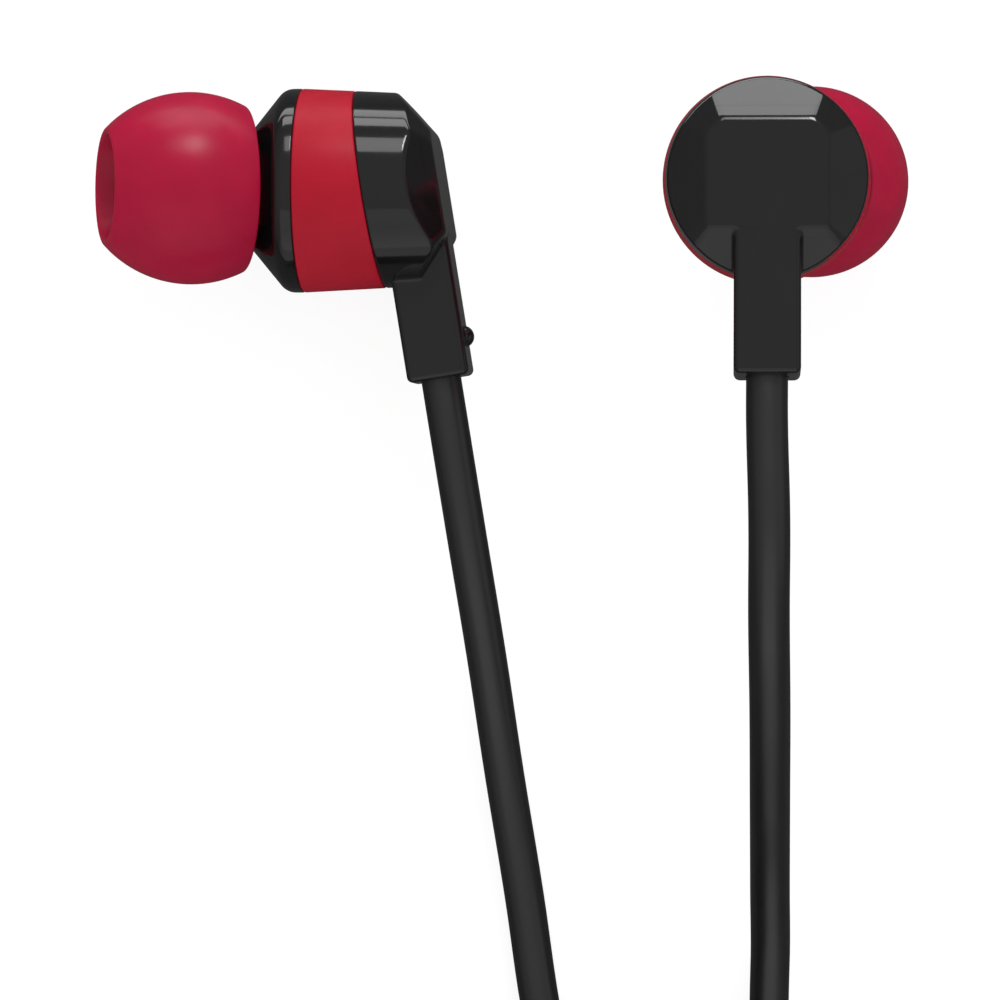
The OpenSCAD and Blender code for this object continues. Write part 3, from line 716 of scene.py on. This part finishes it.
    def outside(self, q: Array) -> Array:
        """Forms the outside of back and stem, with the raised dot on the left one.

        Args:
            q: Points, one row each.

        Returns:
            Signed distances.
        """
        whole = smooth_min(self.back_form(q), self.stem_form(q), self.stem_blend)
        if self.side is Side.LEFT:
            ball = ((self.dot_d / 2) ** 2 + self.dot_h**2) / (2 * self.dot_h)
            middle = np.array([0.0, -self.stem_len + self.dot_up, self.stem_inset - self.dot_h + ball])
            whole = smooth_min(whole, np.linalg.norm(q - middle, axis=1) - ball, self.dot_blend)
        return whole

    def hollow(self, q: Array) -> Array:
        """Forms the room inside the rear shell and its stem.

        Args:
            q: Points, one row each.

        Returns:
            Signed distances.
        """
        x, y, z = q.T
        px, py, pz = self.upright(q).T
        r = np.hypot(px, py)
        bore = np.maximum(r - self.bore_r, self.collar_rear - pz)
        cavity = np.maximum(r - self.cavity_r, self.cavity_rear - pz)
        window = np.maximum(np.hypot(x, y) - self.window_r, z - self.collar_rear)
        deep = self.stem_inset + self.stem_depth - self.stem_wall
        channel = np.max([
            np.abs(x) - (self.stem_w / 2 - self.stem_wall), y - self.stem_top,
            -self.stem_len + self.stem_end - y, z - deep,
        ], axis=0)
        hole = np.maximum(np.hypot(x, z - self.stem_axis) - self.cord_hole,
                          y - (self.stem_end - self.stem_len))
        return np.min([bore, cavity, window, channel, hole], axis=0)

    def rear_outside(self, q: Array) -> Array:
        """Forms the outside of the rear shell, up to the coloured band.

        Args:
            q: Points, one row each.

        Returns:
            Signed distances.
        """
        _, py, pz = self.upright(q).T
        a = radians(self.band_slant)
        ahead = (pz - self.band_rear + self.seam) * cos(a) - py * sin(a)
        barrel = smooth_max([self.back_form(q), ahead], self.edge)
        return smooth_min(barrel, self.stem_form(q), self.stem_blend)

    def node(self, part: str) -> str:
        """Name of this side's solid or body for a part."""
        return f"{self.side.value}_{part}"

    def build_back(self) -> None:
        """Builds the back cover and the rear shell with its stem."""
        place = self.place @ self.face
        reach, end, spare = self.barrel_r + 0.2, -self.stem_len - 0.25, 0.3
        front, back = self.cover_t - self.seam, self.cover_t + self.seam
        cover = skin([self.outside, lambda q: q[:, 2] - front], low=(-reach, end, -0.61),
                     high=(reach, reach, self.cover_t + spare), step=0.103)
        build_piece(self.node("back_cover"), cover.moved(place), "shell_black")
        rear = skin([self.rear_outside, lambda q: -self.hollow(q), lambda q: back - q[:, 2]],
                    low=(-reach, end, self.cover_t - spare),
                    high=(reach, reach + 0.5, self.band_rear + 2.4), step=0.117)
        build_piece(self.node("rear_shell"), rear.moved(place), "shell_black")

    def build_band(self) -> None:
        """Builds the coloured band with its slanted rear edge."""
        slant = tan(radians(self.band_slant))
        front, back = self.band_front - self.seam, self.band_rear + self.seam
        lip, wall_share = 0.14, 0.96

        def profile(angle: float) -> Array:
            """Finds the band's section at an angle round the barrel.

            Args:
                angle: The angle in radians.

            Returns:
                The section's points.
            """
            rise = sin(angle) * slant
            outer_back = back + self.barrel_r * wall_share * rise
            return filleted([
                Corner(self.bore_r, front), Corner(self.bore_r, back + self.bore_r * rise),
                Corner(self.wall_r(outer_back), outer_back, lip),
                Corner(self.wall_r(front), front, lip),
            ], 4)

        build_piece(self.node("accent_band"), swept_ring(profile, 160).moved(self.place), "band_red")

    def build_front(self) -> None:
        """Builds the front shell: collar, front cone and angled nozzle."""
        barrel = turned([
            Corner(0, self.room_front), Corner(self.room_r, self.room_front),
            Corner(self.room_r, self.collar_rear), Corner(self.collar_r, self.collar_rear, 0.1),
            Corner(self.collar_r, self.band_front), Corner(self.barrel_r, self.band_front, 0.12),
            Corner(self.barrel_r, self.shoulder, self.shoulder_fillet),
            Corner(self.cone_r, self.cone_front, 0.25), Corner(0, self.cone_front),
        ], steps=9)
        bore, mesh_seat, neck, barb, root = 1.7, 1.95, 2.35, 2.7, 3.2
        start, root_end, mouth = 2.8, 5.6, 11.6
        nozzle = turned([
            Corner(bore, start), Corner(root, start), Corner(root, root_end, 0.15),
            Corner(neck, root_end, 0.08), Corner(neck, 10.0), Corner(barb, 10.4, 0.1),
            Corner(neck, mouth, 0.12), Corner(mesh_seat, mouth, 0.05), Corner(mesh_seat, 11.05),
            Corner(bore, 11.05),
        ])
        draft = barrel.joined(nozzle.moved(self.nozzle))
        build_piece(self.node("front_shell"), draft.moved(self.place), "shell_black")

    def dome_r(self, inset: float, z: float) -> float:
        """Radius of the ear tip's dome, or of its inside, at a height over the rim."""
        radius = self.tip_dome - inset
        return self.tip_d / 2 - self.tip_dome + sqrt(radius**2 - (z - self.tip_widest) ** 2)

    def build_tip(self) -> None:
        """Builds the silicone ear tip: domed skirt, mouth and sleeve."""
        length, hollow, wall = self.tip_len, self.tip_hollow, self.tip_wall
        sleeve, sleeve_outside, mouth, sleeve_rim, first = 2.75, 3.45, 3.42, 0.7, 0.4
        outer = [Corner(self.dome_r(0, z), z) for z in np.linspace(first, length - 0.5, 26)]
        inner = [Corner(self.dome_r(wall, z), z) for z in np.linspace(hollow - 0.6, first, 20)]
        corners = [
            Corner(sleeve, sleeve_rim, 0.12), Corner(sleeve_outside, sleeve_rim, 0.15),
            Corner(sleeve_outside, hollow, 0.35), Corner(self.dome_r(wall, hollow), hollow, 0.4),
            *inner, Corner(self.dome_r(wall, 0), 0, 0.24), Corner(self.dome_r(0, 0), 0, 0.24),
            *outer, Corner(self.dome_r(0, length), length, 0.34), Corner(mouth, length, 0.24),
            Corner(sleeve, length - 1.9, 0.5),
        ]
        draft = turned(corners, 120, 6).moved(Matrix.Translation((0, 0, self.tip_rim)))
        build_piece(self.node("ear_tip"), draft.moved(self.place @ self.nozzle), "tip_silicone",
                    self.node("tip"), 50)

    def build(self) -> None:
        """Builds every finished piece of this earpiece."""
        self.build_back()
        self.build_band()
        self.build_front()
        self.build_tip()


# --- Cords ---


@dataclass(frozen=True)
class Coil:
    """A round coil of two layers: it spirals in, climbs in half a turn and spirals out.

    Sizes are in millimetres; it is wound clockwise from its rightmost point.
    """

    middle: tuple[float, float]
    radius: float
    loops: float
    pitch: float = 3.45
    layer: float = 3.2
    per_loop: int = 24

    def points(self, base: float) -> list[Point]:
        """Works out the centreline, without the straight ends.

        Args:
            base: Height of its lower layer.

        Returns:
            Points on it, in order.
        """
        inward, climb = self.loops * self.per_loop, self.per_loop / 2
        total = int(2 * inward + climb)
        route = []
        for i in range(total + 1):
            r = self.radius - self.pitch * min(i, inward, total - i) / self.per_loop
            rise = max(0.0, min(1.0, (i - inward) / climb))
            rise = rise * rise * (3 - 2 * rise)
            a = -2 * pi * i / self.per_loop
            route.append((self.middle[0] + r * cos(a), self.middle[1] + r * sin(a),
                          base + self.layer * rise))
        return route


@dataclass
class Cords:
    """The two leg cords and the main cord, in millimetres."""

    exits: dict[Side, Exit]
    diameter: float = 2.6
    base: float = 1.75
    layer: float = Coil.layer
    leg_in: tuple[float, float] = (10.5, -74.0)
    leg_coil: Coil = Coil((-5.1, -74.0), radius=15.6, loops=1.25)
    main_in: tuple[float, float] = (18.5, -134.5)
    main_coil: Coil = Coil((-3.8, -134.5), radius=22.3, loops=4)
    plug_at: Point = (-26.1, -112.0, 3.3)
    splitter_top: Point = (10.5, -98.0, 2.5)
    leg_spacing: float = 3.4
    splitter_len: float = 13.0

    def leg_route(self, side: Side) -> list[Point]:
        """Lays a leg.

        Args:
            side: The ear that it goes to.

        Returns:
            Points on its centreline, from its stem to the splitter.
        """
        x, y, d = *self.leg_in, self.diameter
        at, way = self.exits[side]
        start = [at, tuple(a + w * d for a, w in zip(at, way))]
        end_x, end_y, end_z = self.splitter_top
        if side is Side.LEFT:
            low, end_x = self.base, end_x - self.leg_spacing / 2
            free = [(-2.3, -19, 6.5), (-1, -27, 4.4), (0.2, -35, 2.4), (1.5, -43, 1.5),
                    (2.6, -50.5, 1.3), (3.8, -56.5, 1.3), (6.6, -61.5, 1.4), (9.4, -65.6, 1.6)]
            down = [(9.6, -85, 3.6), (end_x, end_y + 2 * d, end_z)]
        else:
            low, end_x = self.base + 2 * self.layer, end_x + self.leg_spacing / 2
            free = [(16.5, -18, 22.2), (16.6, -24, 20.2), (16.9, -30, 16.2), (17.2, -36, 11.2),
                    (17.5, -42, 6.2), (17.7, -48, 2.7), (17.4, -54, 1.3), (15.6, -60, 2.6),
                    (12.9, -64.6, 6)]
            down = [(11.2, -83.6, 9.6), (11.9, -88, 6.2), (12.2, -91.6, 3.4), (end_x, end_y + d, end_z)]
        high = low + self.layer
        return [*start, *free, (x, y + 2 * d, low), (x, y + d, low), *self.leg_coil.points(low),
                (x, y - d, high), (x, y - 2 * d, high), *down, (end_x, end_y, end_z)]

    def main_route(self) -> list[Point]:
        """Lays the main cord.

        Returns:
            Points on its centreline, from the splitter to the plug.
        """
        x, y, d = *self.main_in, self.diameter
        sx, sy, sz = self.splitter_top
        px, py, pz = self.plug_at
        start, high = sy - self.splitter_len, self.base + self.layer
        head = [(sx, start, sz), (sx, start - d, sz), (12, -118, 2), (15.4, -123, 1.5),
                (17.8, -126.8, 1.6), (x, y + 2 * d, self.base), (x, y + d, self.base)]
        tail = [(px, y + d, high), (px, y + 2 * d, high), (px, -122, 3.8), (px, py - d, pz),
                (px, py, pz)]
        return head + self.main_coil.points(self.base) + tail

    def build_cord(self, name: str, route: list[Point], parts: Sequence[str]) -> None:
        """Builds one cord as a round smooth tube along its route.

        Args:
            name: Name of the cord.
            route: Points that it passes through, in millimetres.
            parts: Its stretches in the record, which are solids.
        """
        curve = bpy.data.curves.new(name, "CURVE")
        curve.dimensions = "3D"
        curve.resolution_u = 6
        curve.bevel_depth = self.diameter / 2 * MM
        curve.bevel_resolution = 5
        curve.use_fill_caps = True
        spline = curve.splines.new("BEZIER")
        spline.bezier_points.add(len(route) - 1)
        for knot, point in zip(spline.bezier_points, route):
            knot.co = Vector(point) * MM
            knot.handle_left_type = knot.handle_right_type = "AUTO"
        curve.materials.append(SLOT_FINISH["cord_black"].make())
        piece = add_thing(name, curve)
        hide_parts(*[f"{name}-{part}".replace("-", "_") for part in parts])
        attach(piece, BODY)

    def build(self, legs_carry: list[Thing | str], main_carries: list[Thing | str]) -> None:
        """Builds the three cords.

        Args:
            legs_carry: The pieces on the legs: the splitter and the leg tie; not used.
            main_carries: The pieces on the main cord: its tie and the plug; not used.
        """
        for side in Side:
            self.build_cord(f"{side.value}-cord", self.leg_route(side), ("upper", "coil", "lower"))
        self.build_cord("main-cord", self.main_route(), ("head", "coil", "tail"))


# --- Splitter, ties and plug ---


@dataclass
class Fittings:
    """What is on the cords, in millimetres: splitter, coil ties and the plug.

    The pin's ends are, from the grip: end of the sleeve, start and end of the ring, start and end
    of the tip.
    """

    cords: Cords
    tie_t: float = 0.45
    tie_w: float = 3.0
    tie_gap: float = 0.15
    splitter_w: float = 9.4
    splitter_t: float = 5.0
    splitter_taper: float = 6.0
    splitter_round: float = 1.3
    splitter_blend: float = 1.4
    grooves: tuple[float, ...] = (1.1, 2.3, 3.5)
    groove_w: float = 0.44
    groove_depth: float = 0.3
    groove_edge: float = 0.16
    boot_len: float = 10.0
    boot_r: float = 1.8
    boot_flare: float = 0.06
    boot_ribs: int = 6
    boot_rib_gap: float = 1.3
    grip_len: float = 16.0
    grip_r: float = 3.3
    grip_ribs: int = 7
    grip_rib_gap: float = 1.1
    grip_rib_start: float = 3.2
    pin_r: float = 1.75
    pin_ends: tuple[float, ...] = (7.0, 7.7, 9.4, 10.1, 14.0)

    def tie(self, node: str, coil: Coil, direction: float, layers: int) -> Thing:
        """Builds a ribbed rubber strap closed round a bundle of turns.

        Args:
            node: The solid that it stands for.
            coil: The coil.
            direction: Where it goes round the bundle, in degrees.
            layers: Layers of turns in the bundle.

        Returns:
            The strap.
        """
        room = self.cords.diameter / 2 + self.tie_gap
        inner, outer = coil.radius - coil.pitch * coil.loops - room, coil.radius + room
        top = self.cords.base + (layers - 1) * coil.layer + room
        t, half_w = self.tie_t, self.tie_w / 2
        rib_gap, groove, floor, dip = 1.0, 0.32, 0.22, 0.1
        across = [(0.0, -half_w), (0.0, half_w), (t, half_w)]
        for y in (rib_gap, 0.0, -rib_gap):
            across += [(t, y + groove), (t - dip, y + floor), (t - dip, y - floor), (t, y - groove)]
        across.append((t, -half_w))
        section = filleted([Corner(depth, y, 0.1) for depth, y in across], 3)
        half_x, half_z, bend = (outer - inner) / 2 + t, (top + t) / 2, self.cords.diameter / 2
        loop = []
        for sx, sz, start in ((1, 1, 0), (-1, 1, 90), (-1, -1, 180), (1, -1, 270)):
            loop += [(sx, sz, radians(start + 10 * k)) for k in range(10)]
        points = []
        for sx, sz, a in loop:
            for depth, y in section:
                r = bend - t + depth
                points.append((sx * (half_x - bend) + r * cos(a), y,
                               half_z + sz * (half_z - bend) + r * sin(a)))
        index = np.arange(len(points)).reshape(len(loop), -1)[:, ::-1]
        out = Matrix.Translation(((inner + outer) / 2, 0, 0))
        place = Matrix.Translation((*coil.middle, 0)) @ rotation(direction, "Z") @ out
        draft = Draft(np.array(points), ring_faces(index)).moved(place)
        return build_piece(node, draft, "tie_rubber", crease=30)

    def splitter_shape(self, q: Array) -> Array:
        """Distance to the splitter: a rounded lozenge with three grooves round its narrow end.

        Args:
            q: Points in millimetres from the middle of its lower face; y runs along it.

        Returns:
            Signed distances, negative inside.
        """
        length, half_w, thick = self.cords.splitter_len, self.splitter_w / 2, self.splitter_t
        block = rounded_box(q, (0, length / 2, thick / 2), (half_w, length / 2, thick / 2),
                            self.splitter_round)
        lean = atan2(half_w - self.cords.diameter, self.splitter_taper)
        x, y, _ = q.T
        taper = (np.abs(x) - self.cords.diameter) * cos(lean) - y * sin(lean)
        form = smooth_max([block, taper], self.splitter_blend)
        for middle in self.grooves:
            ring = np.abs(y - middle) - self.groove_w / 2
            cut = -np.maximum(ring, -(form + self.groove_depth))
            form = smooth_max([form, cut], self.groove_edge)
        return form

    def splitter(self) -> Thing:
        """Builds the splitter where the two leg cords join.

        Returns:
            The splitter.
        """
        x, y, _ = self.cords.splitter_top
        room, length = 0.3, self.cords.splitter_len
        half_w = self.splitter_w / 2 + room
        draft = skin([self.splitter_shape], low=(-half_w, -room, -room),
                     high=(half_w, length + room, self.splitter_t + room), step=0.157)
        place = Matrix.Translation((x, y - length, 0))
        return build_piece("cord_splitter", draft.moved(place), "fitting_black")

    def turned_piece(self, node: str, corners: Sequence[Corner], slot: str) -> Thing:
        """Builds a turned part of the plug from its profile along the plug."""
        place = Matrix.Translation(self.cords.plug_at) @ rotation(-90, "X")
        return build_piece(node, turned(corners, 72, 4).moved(place), slot)

    def plug(self) -> list[Thing]:
        """Builds the plug: ribbed boot, grip and gold contacts; the insulators between them are not
        built here.

        Returns:
            Its pieces.
        """
        top, end = self.boot_len, self.boot_len + self.grip_len
        boot = [Corner(0, 0), Corner(self.boot_r, 0, 0.2)]
        for i in range(self.boot_ribs):
            z = self.boot_rib_gap * (1 + i)
            r = self.boot_r + self.boot_flare * z
            boot += [Corner(r, z, 0.1), Corner(r - 0.28, z + 0.12, 0.08),
                     Corner(r - 0.26, z + 0.48, 0.08), Corner(r + 0.04, z + 0.6, 0.1)]
        boot += [Corner(2.4, top, 0.1), Corner(0, top)]
        r = self.grip_r
        grip = [Corner(0, top), Corner(2.5, top, 0.15), Corner(r, top + 0.8, 0.6)]
        for i in range(self.grip_ribs):
            z = top + self.grip_rib_start + self.grip_rib_gap * i
            grip += [Corner(r, z, 0.08), Corner(r - 0.2, z + 0.15, 0.06),
                     Corner(r - 0.2, z + 0.4, 0.06), Corner(r, z + 0.55, 0.08)]
        grip += [Corner(r, end - 0.6, 0.3), Corner(2.7, end, 0.15), Corner(0, end)]
        r, edge = self.pin_r, 0.06
        z1, z2, z3, z4, z5 = (end + z for z in self.pin_ends)
        sleeve = [Corner(0, end), Corner(r, end), Corner(r, z1, edge), Corner(0, z1)]
        ring = [Corner(0, z2), Corner(r, z2, edge), Corner(r, z3, edge), Corner(0, z3)]
        tip = [Corner(0, z4), Corner(r, z4, edge), Corner(r, z4 + 0.7, 0.12),
               Corner(1.25, z4 + 1.4, 0.3), Corner(1.65, z5 - 1.7, 0.3),
               Corner(1.65, z5 - 1.2, 0.3), Corner(0.5, z5, 0.3), Corner(0, z5)]
        parts = (("plug_boot", boot, "boot_rubber"), ("plug_grip", grip, "fitting_black"),
                 ("plug_sleeve", sleeve, "gold"), ("plug_ring", ring, "gold"), ("plug_tip", tip, "gold"))
        return [self.turned_piece(*part) for part in parts]

    def build(self) -> tuple[list[Thing], list[Thing]]:
        """Builds the fittings.

        Returns:
            The pieces on the leg cords, and those on the main cord.
        """
        leg_tie = self.tie("leg_coil_tie", self.cords.leg_coil, direction=120, layers=4)
        main_tie = self.tie("main_coil_tie", self.cords.main_coil, direction=270, layers=2)
        return [self.splitter(), leg_tie], [main_tie, *self.plug()]


# --- Camera and studio ---


@dataclass(frozen=True)
class Softbox:
    """A rectangular studio lamp: places and sizes in metres, power in watts."""

    name: str
    at: Point
    aim: Point
    size: tuple[float, float]
    power: float

    def hang(self) -> None:
        """Adds the lamp to the scene; the camera does not see it."""
        lamp = bpy.data.lights.new(self.name, "AREA")
        lamp.shape = "RECTANGLE"
        lamp.size, lamp.size_y = self.size
        lamp.energy = self.power
        thing = add_thing(self.name, lamp)
        way = Vector(self.aim) - Vector(self.at)
        thing.rotation_euler = way.to_track_quat("-Z", "Y").to_euler()
        thing.location = self.at
        thing.visible_camera = False


@dataclass
class Studio:
    """White floor, soft lamps and the camera that looks straight down."""

    camera_at: Point = (-0.000098, -0.016863, 0.3)
    focal: float = 4.507
    sensor: float = 36.0
    floor_size: float = 3.0
    floor_drop: float = 0.00002
    floor_paint: float = 0.9
    floor_seen: float = 1.15
    floor_share: float = 0.75
    floor_bounce: float = 0.95
    floor_mirrored: float = 0.09
    sky_bounce: float = 0.78
    sky_horizon: float = 0.16
    sky_zenith: float = 0.32
    zenith_from: float = 0.1
    sky_front: float = 0.42
    front_from: float = -0.75
    lamps: tuple[Softbox, ...] = (
        Softbox("upper softbox", (0.02, 0.546, 0.448), (0, 0, 0.01), (0.36, 0.227), 0.5),
        Softbox("horizon softbox", (0, 0.69, 0.089), (0, 0, 0.01), (0.5, 0.145), 0.58),
        Softbox("bright softbox", (0.10, 0.53, 0.42), (0, 0, 0.01), (0.18, 0.20), 0.9),
        Softbox("low softbox", (-0.008, 0.29, 0.0005), (-0.008, 0.3, 1), (0.07, 0.5), 0.24),
        Softbox("side fill", (0.65, 0, 0.2), (0, 0, 0.01), (0.6, 0.4), 0.07),
        Softbox("front fill", (0, -0.5, 0.42), (0, 0, 0.01), (0.8, 0.6), 0.28),
    )

    def add_camera(self) -> None:
        """Adds the camera; its focal length is in picture widths."""
        lens = bpy.data.cameras.new("camera")
        lens.sensor_fit = "HORIZONTAL"
        lens.sensor_width = self.sensor
        lens.lens = self.focal * self.sensor
        lens.clip_start = 0.01
        lens.clip_end = 10.0
        camera = add_thing("camera", lens)
        camera.location = self.camera_at
        bpy.context.scene.camera = camera

    def add_floor(self) -> None:
        """Adds the floor: it is seen white with a soft shadow, and mirrors dimmer than it looks."""
        material = bpy.data.materials.new("white floor")
        material.use_nodes = True
        tree = material.node_tree
        tree.nodes.clear()
        rays = tree.nodes.new("ShaderNodeLightPath").outputs

        def matte(grey: float) -> Socket:
            """A matte surface of the given brightness."""
            return add_node(tree, "ShaderNodeBsdfDiffuse", {"Color": (grey, grey, grey, 1)}).outputs[0]

        def mixed(share: Value, low: Socket, high: Socket) -> Socket:
            """Two shaders mixed, by the second one's share."""
            return add_node(tree, "ShaderNodeMixShader", {0: share, 1: low, 2: high}).outputs[0]

        glow = add_node(tree, "ShaderNodeEmission", {"Strength": self.floor_seen}).outputs[0]
        seen = mixed(self.floor_share, matte(self.floor_paint), glow)
        unseen = mixed(rays["Is Glossy Ray"], matte(self.floor_bounce), matte(self.floor_mirrored))
        through = mixed(rays["Is Transmission Ray"], unseen, seen)
        surface = mixed(rays["Is Camera Ray"], through, seen)
        add_node(tree, "ShaderNodeOutputMaterial", {"Surface": surface})
        half = self.floor_size / 2
        mesh = bpy.data.meshes.new("floor")
        mesh.from_pydata([(-half, -half, 0), (half, -half, 0), (half, half, 0), (-half, half, 0)], [],
                         [(0, 1, 2, 3)])
        mesh.materials.append(material)
        floor = add_thing("floor", mesh)
        floor.location.z = -self.floor_drop

    def add_sky(self) -> None:
        """Lights the room: white where it is seen, even on matte surfaces, dim where mirrored.

        What is mirrored is darker to the horizon, with a brighter low front.
        """
        world = bpy.data.worlds.new("studio")
        bpy.context.scene.world = world
        world.use_nodes = True
        tree = world.node_tree
        rays = tree.nodes.new("ShaderNodeLightPath").outputs
        place = tree.nodes.new("ShaderNodeTexCoord").outputs["Generated"]
        way = add_node(tree, "ShaderNodeSeparateXYZ", {0: place}).outputs
        sky = ranged(tree, way["Z"], self.sky_horizon, self.sky_zenith, self.zenith_from)
        mirrored = ranged(tree, way["Y"], sky, self.sky_front, self.front_from, -1.0)
        bounced = ranged(tree, rays["Is Diffuse Ray"], mirrored, self.sky_bounce)
        seen = ranged(tree, rays["Is Transmission Ray"], bounced, 1.0)
        back = tree.nodes["Background"]
        back.inputs["Color"].default_value = (1, 1, 1, 1)
        tree.links.new(ranged(tree, rays["Is Camera Ray"], seen, 1.0), back.inputs["Strength"])

    def build(self) -> None:
        """Adds floor, room light and lamps."""
        self.add_floor()
        self.add_sky()
        for lamp in self.lamps:
            lamp.hang()
        bpy.context.scene.view_settings.view_transform = "Standard"


# --- The whole object ---


def dress_inner_parts() -> None:
    """Gives every carried-over solid the finish of its slot."""
    slots = {part["node"]: part["material_slot"] for part in frame["record"]["subparts"]}
    for name, thing in frame["nodes"].items():
        finish = SLOT_FINISH[slots[name]]
        thing.data.materials.clear()
        thing.data.materials.append(finish.make())


def main() -> None:
    """Builds the earphones, the studio and the camera."""
    logging.basicConfig(level=logging.INFO, format="%(name)s: %(message)s")
    studio = Studio()
    studio.add_camera()
    left, right = Earpiece.lying(), Earpiece.standing()
    dress_inner_parts()
    cords = Cords({ear.side: ear.cord_exit for ear in (left, right)})
    on_legs, on_main = Fittings(cords).build()
    cords.build(on_legs, [*on_main, "plug_insulators"])
    left.build()
    right.build()
    studio.build()


if __name__ == "__main__":
    main()
